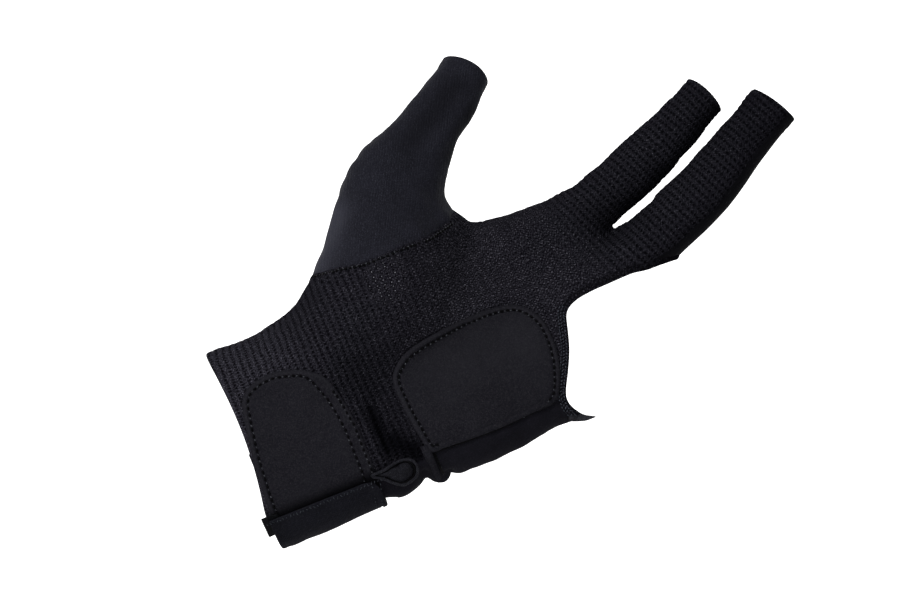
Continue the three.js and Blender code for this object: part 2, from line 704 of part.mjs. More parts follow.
add('palm_panel', layer(palmPanel, -CLOTH, 0), cloth(0x1b1b21, 0.85));
add('back_panel', layer(backPanel, -CLOTH, 0), cloth(0x17171b, 0.8));
add('thumb_sleeve', layer(thumbSleeve, -CLOTH, 0), cloth(0x1a1a22, 0.75));
add('palm_pad', layer(palmPad, padLow, padHigh), cloth(0x202024, 0.95));
add('wrist_pad', layer(wristPad, padLow, padHigh), cloth(0x202024, 0.95));
add('closure_strap', layer(closureStrap, strapLow, strapHigh), cloth(0x1d1d22, 0.85));
add('hook_tape', layer(hookTape, padLow, padHigh), cloth(0x141418, 0.95));
add('pull_loop', sweepLoop(loopLine(), round(LOOP_RADIUS, 6)), cloth(0x222229, 0.8));
add('opening_binding', sweepLoop(bindingLine, band(BINDING_RADIUS, BINDING_RADIUS)), cloth(0x1e2026, 0.85));
add('wrist_hem', sweepLoop(hemLine, band(HEM_WIDTH / 2, HEM_THICKNESS / 2)), cloth(0x17171b, 0.85));

export default glove;
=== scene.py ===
import math

import bpy
import numpy as np
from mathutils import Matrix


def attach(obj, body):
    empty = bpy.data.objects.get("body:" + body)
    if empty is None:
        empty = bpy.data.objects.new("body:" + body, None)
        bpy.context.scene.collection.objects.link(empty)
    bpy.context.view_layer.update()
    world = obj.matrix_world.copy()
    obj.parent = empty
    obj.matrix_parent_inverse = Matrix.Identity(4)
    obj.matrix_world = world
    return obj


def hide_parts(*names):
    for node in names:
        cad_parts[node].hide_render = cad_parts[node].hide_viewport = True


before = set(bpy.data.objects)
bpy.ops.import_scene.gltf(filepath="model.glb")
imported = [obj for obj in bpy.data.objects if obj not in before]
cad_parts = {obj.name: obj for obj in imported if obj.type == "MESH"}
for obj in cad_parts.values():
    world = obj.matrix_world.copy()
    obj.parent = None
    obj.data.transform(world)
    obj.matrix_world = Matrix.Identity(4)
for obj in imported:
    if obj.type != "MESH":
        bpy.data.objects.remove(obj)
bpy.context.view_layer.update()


def add_object(name, data):
    obj = bpy.data.objects.new(name, data)
    bpy.context.scene.collection.objects.link(obj)
    return obj


# camera, in metres
camera = add_object("camera", bpy.data.cameras.new("camera"))
camera.data.lens = 150
camera.data.sensor_width = 36
camera.data.clip_end = 20
camera.location = (0.06688, -1.2, 0.0464)
camera.rotation_euler = (math.pi / 2, 0, 0)
bpy.context.scene.camera = camera

# sizes, in millimetres
CLOTH = 1.2
GAP = 0.3
PAD_LOW = GAP
PAD_HIGH = PAD_LOW + 1.0
STRAP_LOW = PAD_HIGH + GAP
STRAP_HIGH = STRAP_LOW + 1.1
STRAP_WIDTH = 36.2
STRAP_INSET = 0.2
STRAP_BACK_REACH = 4
STRAP_BLEND = 5
BINDING = 0.9
BINDING_WIDTH = 2 * BINDING + 0.7
HEM_WIDTH = 2.2
STITCH_INSET = 1.7
PANEL_OVERLAP = 0.06
THUMB_OVERLAP = 0.04
THREAD_PITCH = 1.3
THREAD_RADIUS = 0.13
STITCH_RADIUS = 0.15
LIGHT_STITCH_RADIUS = 0.19
# the knit's steps from row to row and from column to column
ROW_PITCH = 2.25
COLUMN_PITCH = 1.35
FINGER_COLUMN_PITCH = 1.6
# an eyelet's half height and half width in the cloth's form and in its colour, and its depth
EYELET_FORM = (0.52, 0.42)
EYELET_COLOUR = (0.44, 0.4)
EYELET_DEPTH = 0.42
# the wrist's edge: its slope, and the shallow arc in it
CUFF_SLOPE = math.radians(22.5)
CUFF_ARC = 3.5
CUFF_ARC_AT = -5
CUFF_ARC_REACH = 29
# the two fingers part where x - z has this value, and they point this way
FORK = 51
FINGERWARDS = (0.82, 0, 0.57)
CROTCH = (120, 19, 69.5)
# how softly the limbs run into one another
FINGER_BLEND = 1.2
BALL_BLEND = 10
PALM_BLEND = 6
THUMB_BLEND = 25
NOTCH_BLEND = 1.0
# the form's grid: its turn, low corner, step, number of points, and fine steps to a coarse one
TURN = math.radians(46)
LOW = np.array([-46.0, -86.0, -36.0])
STEP = 1.2
SHAPE = (217, 137, 73)
COARSE = 4
# the mesh's step, the finer one across the slot between the fingers, and where that is
MESH_STEP = 2.14
SLOT_STEP = 0.9
SLOT_AT = -41
SLOT_REACH = 5
# the box that the mesh is made in, along the grid's three axes
MESH_ALONG = (-44, 212)
MESH_ACROSS = (-84.0, 76)
MESH_DEEP = (-34.8, 47)
# the form's distance is exact this near the surface, and a limb is felt this far outside it
EXACT_WITHIN = 6
LIMB_REACH = 30
# where the palm side of the form is looked for, and in what steps
FRONT_REACH = (-38, 16)
FRONT_STEP = 0.5
# the dip along a seam, and the heights of the cloth's own waves
SEAM_DEPTH = 0.28
SEAM_REACH = 1.1
CLOTH_WAVE = 0.16
SOFT_WAVE = 0.1
# how deep the three rows of stitches lie in the pads
PALM_ROW_SINK = 0.46
WRIST_ROW_SINK = 0.44
OUTER_ROW_SINK = 0.4
# the line between palm and back, how far the pads stay in front of it, and the painted light on the knit at
# the cuff
SEAM_AT_WRIST = 2
SEAM_BEHIND_FINGER = 2.5
PAD_BEFORE_SEAM = 8
CUFF_LIGHT = 1.16
# the hook tape's limits: below and above the wrist's line, sideways, and past the strap's edge
TAPE_REACH = 1.9
TAPE_TOP = 3.6
TAPE_SIDE = 29.4
TAPE_UNDER_STRAP = 9

# sections of the form: x, y, z of the centre, half width, half depth, roll in degrees
BODY = [
    (-12.6, -3, -5.9, 31, 18.5, 6), (0.4, 0, -0.8, 32.4, 18.5, 8), (13.8, 1, 4, 32.3, 18.5, 10),
    (27.1, 2, 10.5, 32.8, 18, 13), (46, 4, 19.1, 33.7, 17, 17), (60.5, 6, 25.5, 37.5, 16, 20),
    (73.4, 9, 32.2, 38.2, 15, 20), (87.2, 11, 38.1, 36.6, 14, 20), (101.2, 13, 42.3, 36.2, 13.5, 20),
    (110.6, 14, 44.5, 35.2, 12.5, 20), (116.4, 14, 43.9, 26.8, 11, 20),
]
THUMB_BALL = [(21, -6, 23.5, 9.2, 9, 0), (36.1, -7, 34.6, 10.8, 12, -5), (48.4, -5, 51.2, 12.7, 13, -10)]
THUMB = [
    (44.5, -1, 46.4, 18.5, 15, -10), (46.1, 0, 65.6, 17, 14.5, -20), (48.3, 2, 82, 16, 12.5, -25),
    (56.3, 5, 95.1, 11.5, 11.2, -25), (64.5, 9, 107.3, 10, 9.8, -25), (71.7, 14, 120.2, 7.8, 8.6, -25),
    (75, 17, 126.2, 6.8, 8, -25),
]
INDEX = [
    (88, 16, 63.6, 8.8, 10.5, 12), (104.6, 19, 70.8, 9.3, 10, 12), (118.1, 21, 80.8, 9, 9.2, 10),
    (130.1, 23, 92.2, 8.7, 8.6, 8), (140.7, 25, 102.9, 7.7, 8, 6), (150, 27, 113.3, 7, 7.4, 5),
    (154.3, 28, 118, 6.5, 7, 5),
]
MIDDLE = [
    (107.2, 10, 48.3, 9.4, 11, 15), (123.8, 13, 58, 9.4, 10.5, 15), (136.7, 15, 70, 9.7, 10, 14),
    (149.6, 17, 82.4, 9.6, 9.2, 12), (162, 20, 97.7, 8.5, 8.6, 10), (172.5, 22, 110.3, 8.1, 8.2, 8),
    (176.5, 23, 115.2, 7.8, 7.8, 8),
]
# folds: two ends, reach, height
FOLDS = [
    (51.6, -8, -12.6, 52.4, 10, -12.8, 4.4, 4.4), (60.2, -13, -2, 64, -3, -10, 2.5, 2.4),
    (64, -3, -10, 66, 9, -9, 3, 1.7), (43.5, -15, 14.1, 47.3, -14, 5.3, 3.8, -1.8),
    (47.3, -14, 5.3, 51.7, -12, -2.7, 4.2, -2.4), (60, 27, 8, 78, 30, 18, 5, 1.4),
    (24, 24, 20, 44, 25, 34, 6, 1.2), (58.6, -8, -7.8, 60.2, 10, -11, 2.6, -1.6),
    (65.5, -6, -7.5, 67, 10, -9.8, 2.4, -2.2), (119.5, 8, 68.2, 119.5, 32, 68.2, 3.4, -1.6),
    (68.5, -2, 72.5, 68.5, 14, 72.5, 5, 1.6), (72.5, 4, 97, 72.5, 16, 97, 5.5, -1.5),
    (69, 1, 116, 54, -6, 97, 5.5, -2),
]
# the notch between the fingers: its two ends seen from the palm, half width
NOTCH = (120.2, 70.3, 132, 79.3, 0.85)
THUMB_END = (71.7, 14, 120.2, 60, 24)
INDEX_END = (150.2, 27, 113.1, 46, 12)
MIDDLE_END = (172.3, 22, 110, 53.5, 4)

# outlines seen from the palm, x and z
THUMB_AREA = [
    (17.6, 54.7), (23.7, 54.7), (31.3, 56.6), (39.2, 58.2), (46.5, 61), (53.2, 63.9), (60.5, 66.7),
    (66.6, 71.5), (69.4, 78.2), (82.8, 81.4), (89.1, 148.1), (17.6, 148.1),
]
BACK_SIDE_AREA = [
    (107.6, 17.7), (100.6, 13.9), (93.3, 10.4), (83.4, 6), (73.9, 2.5), (64, -0.7), (59.9, -3.3),
    (52.6, -6.5), (42, -11.5), (28.7, -17.3), (12.8, -23.6), (-14, -34), (19.1, -55.5), (121, -10.9),
]
FINGER_SIDE_AREA = [
    (180, 112.3), (176.1, 106.8), (171, 100.1), (162.9, 90), (155.1, 79), (149.3, 72.9), (138.6, 63.2),
    (131.5, 58.7), (121.8, 52.2), (147.7, 46.4), (189.7, 98.1),
]
SIDE_OPENING = [
    (156.2, 55.7), (143.4, 58.4), (134.5, 57), (130, 55.6), (126.2, 55.1), (117.9, 51.8), (111.5, 49),
    (106.7, 46.1), (104.2, 42.9), (104.5, 37.5), (105, 30.5), (104.5, 23.4), (103.9, 16.7),
    (104.6, 13.7), (106.6, 11.5), (109, 10.2), (112, 9.7), (117, 9.2), (117, 1.7), (156.2, 1.7),
]
PALM_PAD = [
    (48.8, 21.6), (50.1, 26.1), (52.9, 29.9), (59.3, 34.3), (68.8, 39.1), (78.6, 42.9), (85.9, 44.5),
    (91.3, 43.5), (96.1, 40.1), (98.9, 35.3), (100.8, 29.9), (101.6, 24.5), (101.6, 19.1), (100.2, 14.3),
    (93.2, 10.9), (83.4, 6.4), (73.9, 2.9), (64.7, -0.2), (61.8, -1.5), (60.5, -1.2), (55.8, 6.1), (52, 13.1),
]
WRIST_PAD = [
    (1.5, 11.7), (1.5, 14.8), (2.8, 17.7), (5.9, 20.5), (10, 22.7), (15.7, 24), (21.4, 24), (26.2, 22.7),
    (29.3, 20.2), (33.1, 14.5), (37.2, 7.2), (40.4, -0.6), (42.9, -7.3), (44.1, -14.2), (29, -20.5),
    (13.4, -26.6), (10.8, -21.8), (9, -17.3), (7.5, -12.2), (5.1, -4.6), (3.2, 3.7),
]
STRAP_EDGE = [(7.5, -23.6), (45.5, -8.5)]
LOOP_LINE = [
    (42.2, -9.1), (46, -7.4), (49.2, -5.3), (52.6, -4), (55.2, -4.4), (56.6, -6.4), (56.3, -9.1),
    (54.7, -10.8), (52, -12), (48.9, -11.3), (46, -10.1),
]
# soft spots of painted shade and painted light: two ends seen from the palm, square of the reach, strength
KNIT_SHADOWS = [
    (42, 11.5, 47, -1, 7, 1), (49, 2, 56.5, -1.5, 26, 1), (40, 20, 54, 0, 150, 0.42),
    (116, 72, 124, 77, 40, 0.5),
]
PALM_LIGHT = (69, 72, 69, 40, 60, 0.45)
THUMB_SHADOWS = [(68.5, 115, 55, 97.5, 20, 0.55), (74.5, 107, 67.5, 92, 8, 0.65)]
THUMB_LIGHT = (24, 58, 30, 74, 22, 0.24)
# a spot of painted light on the pads: each pad gives it its own strength
PAD_LIGHT_SPOT = (64, 25, 90, 33, 90)


# the form
def smooth_rows(rows, steps=4):
    rows = np.array(rows, float)
    full = np.vstack([2 * rows[0] - rows[1], rows, 2 * rows[-1] - rows[-2]])
    out = []
    for i in range(1, len(full) - 2):
        a, b, c, d = full[i - 1:i + 3]
        for t in np.arange(steps) / steps:
            bend = (2 * a - 5 * b + 4 * c - d) * t ** 2 + (3 * b - a - 3 * c + d) * t ** 3
            out.append(0.5 * (2 * b + (c - a) * t + bend))
    return np.array(out + [rows[-1]])


def unit(v):
    return v / np.maximum(np.linalg.norm(v, axis=-1, keepdims=True), 1e-12)


def make_limb(rows, power=2):
    rows = smooth_rows(rows)
    at, roll = rows[:, :3], np.radians(rows[:, 5:6])
    along = unit(np.vstack([at[1:], at[-1:]]) - np.vstack([at[:1], at[:-1]]))
    side = unit(np.cross((0, 1, 0), along))
    back = np.cross(along, side)
    return {
        "at": at, "width": rows[:, 3], "depth": rows[:, 4], "along": along, "power": power,
        "side": side * np.cos(roll) - back * np.sin(roll),
        "back": back * np.cos(roll) + side * np.sin(roll),
    }


def limb_distance(limb, p):
    """About how far each point lies from a limb of oval sections, up to 60."""
    nearest = np.full(len(p), 60.0)
    at, n = limb["at"], limb["power"]
    for i in range(len(at) - 1):
        step = at[i + 1] - at[i]
        reach = max(limb["width"][i:i + 2].max(), limb["depth"][i:i + 2].max()) + LIMB_REACH
        pick = np.flatnonzero(((p - at[i]) ** 2).sum(1) < reach * reach)
        if not len(pick):
            continue
        away = p[pick] - at[i]
        t = np.clip(away @ step / (step @ step), 0, 1)
        away = away - t[:, None] * step
        width, depth = (limb[k][i] + t * (limb[k][i + 1] - limb[k][i]) for k in ("width", "depth"))
        ratio, slant = 0, 0
        for name, size in (("side", width), ("back", depth), ("along", depth)):
            part = np.abs((away @ limb[name][i]) * (1 - t) + (away @ limb[name][i + 1]) * t)
            ratio = ratio + (part / size) ** n
            slant = slant + (part ** (n - 1) / size ** n) ** 2
        ratio = ratio ** (1 / n)
        slant = np.sqrt(slant) / np.maximum(ratio, 0.3) ** (n - 1)
        core = -np.minimum(width, depth) * (1 - ratio)
        distance = np.where(ratio > 0.3, (ratio - 1) / np.maximum(slant, 1e-6), core)
        nearest[pick] = np.minimum(nearest[pick], distance)
    return nearest


def smooth_min(a, b, blend):
    h = np.clip(0.5 + 0.5 * (b - a) / blend, 0, 1)
    return b * (1 - h) + a * h - blend * h * (1 - h)


def segment_distance2(p, a, b):
    a, b = np.array(a, float), np.array(b, float)
    t = np.clip((p - a) @ (b - a) / ((b - a) @ (b - a)), 0, 1)
    return ((p - a - t[:, None] * (b - a)) ** 2).sum(1)


def soft_spot(p, x0, z0, x1, z1, reach, strength=1):
    """A soft spot round a line that is drawn as seen from the palm."""
    return strength * np.exp(-segment_distance2(p * (1, 0, 1), (x0, 0, z0), (x1, 0, z1)) / reach)


body = make_limb(BODY, 2.3)
thumb_ball, thumb, index, middle = (make_limb(rows) for rows in (THUMB_BALL, THUMB, INDEX, MIDDLE))


def exact_form(p):
    fingers = smooth_min(limb_distance(index, p), limb_distance(middle, p), FINGER_BLEND)
    f = smooth_min(limb_distance(body, p), limb_distance(thumb_ball, p), BALL_BLEND)
    f = smooth_min(f, fingers, PALM_BLEND)
    f = smooth_min(f, limb_distance(thumb, p), THUMB_BLEND)
    for x0, y0, z0, x1, y1, z1, reach, height in FOLDS:
        f = f - height * np.exp(-segment_distance2(p, (x0, y0, z0), (x1, y1, z1)) / reach ** 2)
    x0, z0, x1, z1, wide = NOTCH
    beside = np.sqrt(segment_distance2(p * (1, 0, 1), (x0, 0, z0), (x1, 0, z1))) - wide
    return -smooth_min(-f, beside, NOTCH_BLEND)


# the form is kept on a fine grid that is turned to the direction of the fingers
AXES = np.array([[math.cos(TURN), 0, math.sin(TURN)], [-math.sin(TURN), 0, math.cos(TURN)], [0, 1, 0]])
CORNERS = np.array(list(np.ndindex(2, 2, 2)))
ONE_STEP = np.eye(3, dtype=int)


def grid_points(axes):
    return np.stack(np.meshgrid(*axes, indexing="ij"), -1).reshape(-1, 3)


def build_field():
    """The distance from the form on the grid, exact near the surface only, and its slope."""
    axes = [LOW[k] + STEP * COARSE * np.arange((SHAPE[k] - 1) // COARSE + 1) for k in range(3)]
    field = exact_form(grid_points(axes) @ AXES).reshape([len(a) for a in axes])
    for k in range(3):
        fine = np.arange(SHAPE[k]) / COARSE
        i = np.minimum(fine.astype(int), field.shape[k] - 2)
        t = (fine - i).reshape([-1 if a == k else 1 for a in range(3)])
        field = np.take(field, i, k) * (1 - t) + np.take(field, i + 1, k) * t
    near = np.argwhere(np.abs(field) < EXACT_WITHIN)
    field[tuple(near.T)] = exact_form((LOW + STEP * near) @ AXES)
    return np.stack([field, *np.gradient(field, STEP)], -1)


FIELD = build_field()


def sample(p):
    """The distance from the form at each point, negative inside it, and the slope of that."""
    g = (p @ AXES.T - LOW) / STEP
    i = np.clip(g.astype(int), 0, np.array(SHAPE) - 2)
    t = np.clip(g - i, 0, 1)
    total = 0
    for corner in CORNERS:
        a, b, c = np.where(corner, t, 1 - t).T
        total = total + (a * b * c)[:, None] * FIELD[tuple((i + corner).T)]
    return total[:, 0], total[:, 1:] @ AXES


def settle(p, rounds=3):
    """The points moved onto the form."""
    for _ in range(rounds):
        f, g = sample(p)
        p = p - g * (np.clip(f, -2, 2) / np.maximum((g * g).sum(1), 0.2))[:, None]
    return p


def normals(p):
    return unit(sample(p)[1])


def length_of(v):
    return np.linalg.norm(v, axis=1)


def mesh_form():
    """The whole form as triangles of even size, with finer rows across the finger slot."""
    rows = [MESH_ACROSS[0]]
    while rows[-1] < MESH_ACROSS[1]:
        in_slot = abs(rows[-1] - SLOT_AT) < SLOT_REACH
        rows.append(rows[-1] + (SLOT_STEP if in_slot else MESH_STEP))
    axes = [np.arange(*MESH_ALONG, MESH_STEP), np.array(rows), np.arange(*MESH_DEEP, MESH_STEP)]
    shape = np.array([len(a) for a in axes])
    value = [sample(part @ AXES)[0] for part in np.array_split(grid_points(axes), 8)]
    value = np.concatenate(value).reshape(shape)
    inside = value < 0
    filled = sum(inside[tuple(map(slice, o, shape - 1 + o))].astype(int) for o in CORNERS)
    cells = np.argwhere((filled > 0) & (filled < 8))
    number = np.full(shape - 1, -1)
    number[tuple(cells.T)] = np.arange(len(cells))
    total, count = np.zeros((len(cells), 3)), np.zeros(len(cells))
    for o in CORNERS:
        for k in np.flatnonzero(o == 0):
            a = cells + o
            b = a + ONE_STEP[k]
            low, high = value[tuple(a.T)], value[tuple(b.T)]
            cross = (low < 0) != (high < 0)
            t = np.where(cross, low / np.where(cross, low - high, 1), 0)
            start, stop = (np.stack([axes[m][end[:, m]] for m in range(3)], 1) for end in (a, b))
            total += np.where(cross[:, None], start + (stop - start) * t[:, None], 0)
            count += cross
    points = settle((total / count[:, None]) @ AXES)
    quads = []
    for k in range(3):
        lower = inside[1:-1, 1:-1, 1:-1]
        upper = inside[tuple(slice(2, None) if a == k else slice(1, -1) for a in range(3))]
        at = np.argwhere(lower != upper) + 1
        starts = lower[tuple((at - 1).T)]
        right, up = ONE_STEP[(k + 1) % 3], ONE_STEP[(k + 2) % 3]
        ring = np.stack([number[tuple((at - o).T)] for o in (0 * right, right, right + up, up)], 1)
        ring[~starts] = ring[~starts][:, ::-1]
        quads.append(ring)
    quads = np.vstack(quads)
    quads = quads[(quads >= 0).all(1)]
    for _ in range(3):
        total = np.zeros_like(points)
        for shift in (1, 3):
            other = points[np.roll(quads, shift, 1)].reshape(-1, 3)
            for c in range(3):
                total[:, c] += np.bincount(quads.ravel(), other[:, c], len(points))
        count = 2 * np.bincount(quads.ravel(), minlength=len(points))
        points = settle(points * 0.5 + total / np.maximum(count, 1)[:, None] * 0.5, 2)
    corners = points[quads]
    first = length_of(corners[:, 0] - corners[:, 2]) < length_of(corners[:, 1] - corners[:, 3])
    triangles = np.vstack([quads[pick][:, order] for pick, order in (
        (first, [0, 1, 2]), (first, [0, 2, 3]), (~first, [1, 2, 3]), (~first, [3, 0, 1]))])
    a, b, c = (points[triangles[:, k]] for k in range(3))
    if (np.cross(b - a, c - a) * normals(a)).sum() < 0:
        triangles = triangles[:, ::-1]
    return points, triangles


# cutting and building meshes
def sides_of(triangles):
    return triangles.ravel(), np.roll(triangles, -1, 1).ravel()


def open_edges(triangles):
    """The directed edges that have a triangle on one side only."""
    a, b = sides_of(triangles)
    size = int(triangles.max()) + 1
    lone = ~np.isin(a * size + b, b * size + a)
    return np.stack([a[lone], b[lone]], 1)


def longest_loop(triangles):
    """The points of the longest open edge, in order."""
    following = dict(open_edges(triangles).tolist())
    loops = []
    while following:
        at = next(iter(following))
        loop = []
        while at in following:
            loop.append(at)
            at = following.pop(at)
        loops.append(loop)
    return max(loops, key=len)


def cut(mesh, distance):
    """Keeps the part where the distance is positive, with its edge on the zero line."""
    points, triangles = mesh[0].copy(), mesh[1]
    a, b = sides_of(triangles)
    length = length_of(points[a] - points[b])
    shortest = np.full(len(points), np.inf)
    np.minimum.at(shortest, a, length)
    np.minimum.at(shortest, b, length)
    edged = np.zeros(len(points), bool)
    edged[open_edges(triangles).ravel()] = True
    value = distance(points)
    value[edged & (np.abs(value) < 0.02)] = 0
    near = np.flatnonzero(~edged & (np.abs(value) <= 0.35 * shortest))
    if len(near):
        p = points[near]
        out = normals(p)
        g = np.stack([(distance(p + d) - distance(p - d)) / 0.1 for d in np.eye(3) * 0.05], 1)
        g -= out * (g * out).sum(1, keepdims=True)
        size = (g * g).sum(1)
        good = (size >= 0.1) & (np.abs(value[near]) <= 0.45 * shortest[near] * np.sqrt(size))
        moved = near[good]
        points[moved] = settle(points[moved] - g[good] * (value[moved] / size[good])[:, None], 2)
        value[moved] = 0
    start, stop = value[a], value[b]
    across = start * stop < 0
    t = np.where(across, start / np.where(across, start - stop, 1), 0.5)
    value[a[across & (t < 0.04)]] = 0
    value[b[across & (t > 0.96)]] = 0
    v = value[triangles]
    whole = (v >= 0).all(1) & (v > 0).any(1)
    mixed = triangles[(v > 0).any(1) & (v < 0).any(1)]
    crossings, extra, made = {}, [], []
    for tri in mixed.tolist():
        ring = []
        for i, j in zip(tri, tri[1:] + tri[:1]):
            if value[i] >= 0:
                ring.append(i)
            if value[i] * value[j] < 0:
                key = (min(i, j), max(i, j))
                if key not in crossings:
                    crossings[key] = len(points) + len(extra)
                    extra.append(points[i] + (points[j] - points[i]) * value[i] / (value[i] - value[j]))
                ring.append(crossings[key])
        made += [[ring[0], ring[k], ring[k + 1]] for k in range(1, len(ring) - 1)]
    if extra:
        points = np.vstack([points, settle(np.array(extra), 2)])
    triangles = np.vstack([triangles[whole]] + ([np.array(made)] if made else []))
    used, triangles = np.unique(triangles, return_inverse=True)
    return points[used], triangles.reshape(-1, 3)


def cut_all(mesh, distances):
    for distance in distances:
        mesh = cut(mesh, distance)
    return mesh


def finer(mesh):
    """Each triangle in four, with the new points on the form."""
    points, triangles = mesh
    a, b = sides_of(triangles)
    n = len(points)
    key, inverse = np.unique(np.minimum(a, b) * n + np.maximum(a, b), return_inverse=True)
    halfway = settle((points[key // n] + points[key % n]) / 2, 2)
    m = inverse.reshape(-1, 3) + n
    t = np.hstack([triangles, m])
    return np.vstack([points, halfway]), np.vstack([t[:, [0, 3, 5]], t[:, [3, 1, 4]], t[:, [5, 4, 2]], m])


def make_object(name, points, faces, finish, slot, *nodes, layers=None):
    mesh = bpy.data.meshes.new(name)
    mesh.from_pydata((points / 1000).tolist(), [], faces.tolist())
    mesh.shade_smooth()
    for title, data in (layers or {}).items():
        attribute = mesh.attributes.new(title, "FLOAT_VECTOR", "POINT")
        attribute.data.foreach_set("vector", data(points).astype(np.float32).ravel())
    mesh.validate()
    mesh.materials.append(finish)
    obj = add_object(name, mesh)
    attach(obj, "root")
    if nodes:
        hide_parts(*nodes)
    return obj


def joined_underside(coarse, fine_edges, n):
    """The coarser triangles, with those along the edge split so that they meet the fine edge's points."""
    after = np.full(n, -1)
    after[fine_edges[:, 0]] = fine_edges[:, 1]
    rim = open_edges(coarse)
    a, b = sides_of(coarse)
    edge = np.isin(a * n + b, rim[:, 0] * n + rim[:, 1]).reshape(-1, 3)
    split = []
    for triangle, open_side in zip(coarse[edge.any(1)], edge[edge.any(1)]):
        ring = []
        for k in (np.argmax(open_side) + np.arange(3)) % 3:
            ring.append(triangle[k])
            if open_side[k]:
                ring.append(after[triangle[k]])
        ring = ring[1:] + ring[:1]
        split += [(ring[0], ring[k], ring[k + 1]) for k in range(1, len(ring) - 1)]
    return np.vstack([coarse[~edge.any(1)], np.array(split)])


def sheet_object(name, mesh, high, low, *dress, layers=None, bulge=0.12, inner=None, rim=4):
    """A closed sheet over the form: its top, its underside and a rounded edge between them."""
    points, triangles = mesh
    n = len(points)
    out = normals(points)
    high, low = (f(points) if callable(f) else np.full(n, float(f)) for f in (high, low))
    edges = open_edges(triangles)
    lip = np.unique(edges)
    tangent = np.zeros((n, 3))
    step = points[edges[:, 1]] - points[edges[:, 0]]
    for k in range(2):
        for c in range(3):
            tangent[:, c] += np.bincount(edges[:, k], step[:, c], n)
    side = unit(np.cross(tangent, out))[lip]
    parts, faces, rows = [points + out * high[:, None]], [triangles], [lip]
    count = n
    for r in range(1, rim):
        angle = math.pi * r / rim
        h = (high[lip] + low[lip]) / 2 + (high[lip] - low[lip]) / 2 * math.cos(angle)
        parts.append(points[lip] + out[lip] * h[:, None] + side * (bulge * math.sin(angle)))
        rows.append(count + np.arange(len(lip)))
        count += len(lip)
    under = triangles if inner is None else joined_underside(inner[1], edges, n)
    used = np.unique(np.concatenate([under.ravel(), lip]))
    place = np.full(n, -1)
    place[used] = count + np.arange(len(used))
    parts.append(points[used] + out[used] * low[used][:, None])
    faces.append(place[under[:, ::-1]])
    rows.append(place[lip])
    start, stop = np.searchsorted(lip, edges).T
    for up, down in zip(rows, rows[1:]):
        faces.append(np.stack([up[stop], up[start], down[start]], 1))
        faces.append(np.stack([up[stop], down[start], down[stop]], 1))
    return make_object(name, np.vstack(parts), np.vstack(faces), *dress, layers=layers)


# lines and limits on the form
def inside_distance(outline, x, z):
    """How far each place is inside a closed outline. It is negative outside."""
    edge = np.array(outline, float)
    inside = np.zeros(len(x), bool)
    nearest = np.full(len(x), np.inf)
    for (ax, az), (bx, bz) in zip(edge, np.roll(edge, 1, 0)):
        with np.errstate(divide="ignore", invalid="ignore"):
            flip = ((az > z) != (bz > z)) & (x < (bx - ax) * (z - az) / (bz - az) + ax)
        inside ^= flip
        dx, dz = bx - ax, bz - az
        t = np.clip(((x - ax) * dx + (z - az) * dz) / max(dx * dx + dz * dz, 1e-12), 0, 1)
        nearest = np.minimum(nearest, np.hypot(x - ax - t * dx, z - az - t * dz))
    return np.where(inside, nearest, -nearest)


def close_round(outline, steps):
    """A closed outline drawn as a smooth curve through its points."""
    p = np.array(outline, float)
    out = []
    for s in range(len(p)):
        x0, x1, x2, x3 = np.roll(p, 1 - s, 0)[:4]
        d0, d1, d2 = (max(np.linalg.norm(b - a) ** 0.5, 1e-3) for a, b in ((x0, x1), (x1, x2), (x2, x3)))
        t1 = ((x1 - x0) / d0 - (x2 - x0) / (d0 + d1) + (x2 - x1) / d1) * d1
        t2 = ((x2 - x1) / d1 - (x3 - x1) / (d1 + d2) + (x3 - x2) / d2) * d1
        for t in np.arange(steps) / steps:
            bend = (-3 * x1 + 3 * x2 - 2 * t1 - t2) * t ** 2
            out.append(x1 + t1 * t + bend + (2 * x1 - 2 * x2 + t1 + t2) * t ** 3)
    return np.array(out)


CUFF = np.array([math.cos(CUFF_SLOPE), 0, math.sin(CUFF_SLOPE)])
OUTWARD = np.array([CUFF[2], 0, -CUFF[0]])
OPENING_EDGE = close_round(SIDE_OPENING, 4)


def area(outline):
    return lambda p: inside_distance(outline, p[:, 0], p[:, 2])


def before_end(end):
    """How far a point lies before a sleeve's end, which has a place, a turn and a tilt."""
    a, b = math.radians(end[3]), math.radians(end[4])
    out = np.array([math.cos(a) * math.cos(b), math.sin(b), math.sin(a) * math.cos(b)])
    return lambda p: out @ np.array(end[:3], float) - p @ out


thumb_end, index_end, middle_end = map(before_end, (THUMB_END, INDEX_END, MIDDLE_END))
is_thumb, back_side, finger_side = map(area, (THUMB_AREA, BACK_SIDE_AREA, FINGER_SIDE_AREA))
palm_pad_inside, wrist_pad_inside = (area(close_round(pad, 3)) for pad in (PALM_PAD, WRIST_PAD))


def smoothstep(x, low, high):
    t = np.clip((x - low) / (high - low), 0, 1)
    return t * t * (3 - 2 * t)


def ridge(x, reach):
    return np.exp(-(x / reach) ** 2)


def beyond_wrist(p, by=0):
    across = (p @ OUTWARD - CUFF_ARC_AT) / CUFF_ARC_REACH
    return p @ CUFF - CUFF_ARC * np.maximum(0, 1 - across**2) - 0.03 * p[:, 1] - by


def outside_opening(p, by=BINDING_WIDTH):
    return -inside_distance(OPENING_EDGE, p[:, 0], p[:, 2]) - 0.01 * p[:, 1] - by


def past_fork(p):
    """Positive on the middle finger's side of the fork."""
    return p[:, 0] - p[:, 2] - FORK


def diagonal(p):
    return p[:, 0] + p[:, 2]


def sleeve_end(p):
    fingers = np.where(past_fork(p) > 0, middle_end(p), index_end(p))
    return np.where(diagonal(p) < 150, 10, fingers)


def nearest_section(limb, p):
    """The nearest section as seen from the palm, and how far outside it each point is."""
    flat = np.hypot(p[:, None, 0] - limb["at"][None, :, 0], p[:, None, 2] - limb["at"][None, :, 2])
    k = (flat - limb["width"][None]).argmin(1)
    return k, flat[np.arange(len(p)), k] - limb["width"][k]


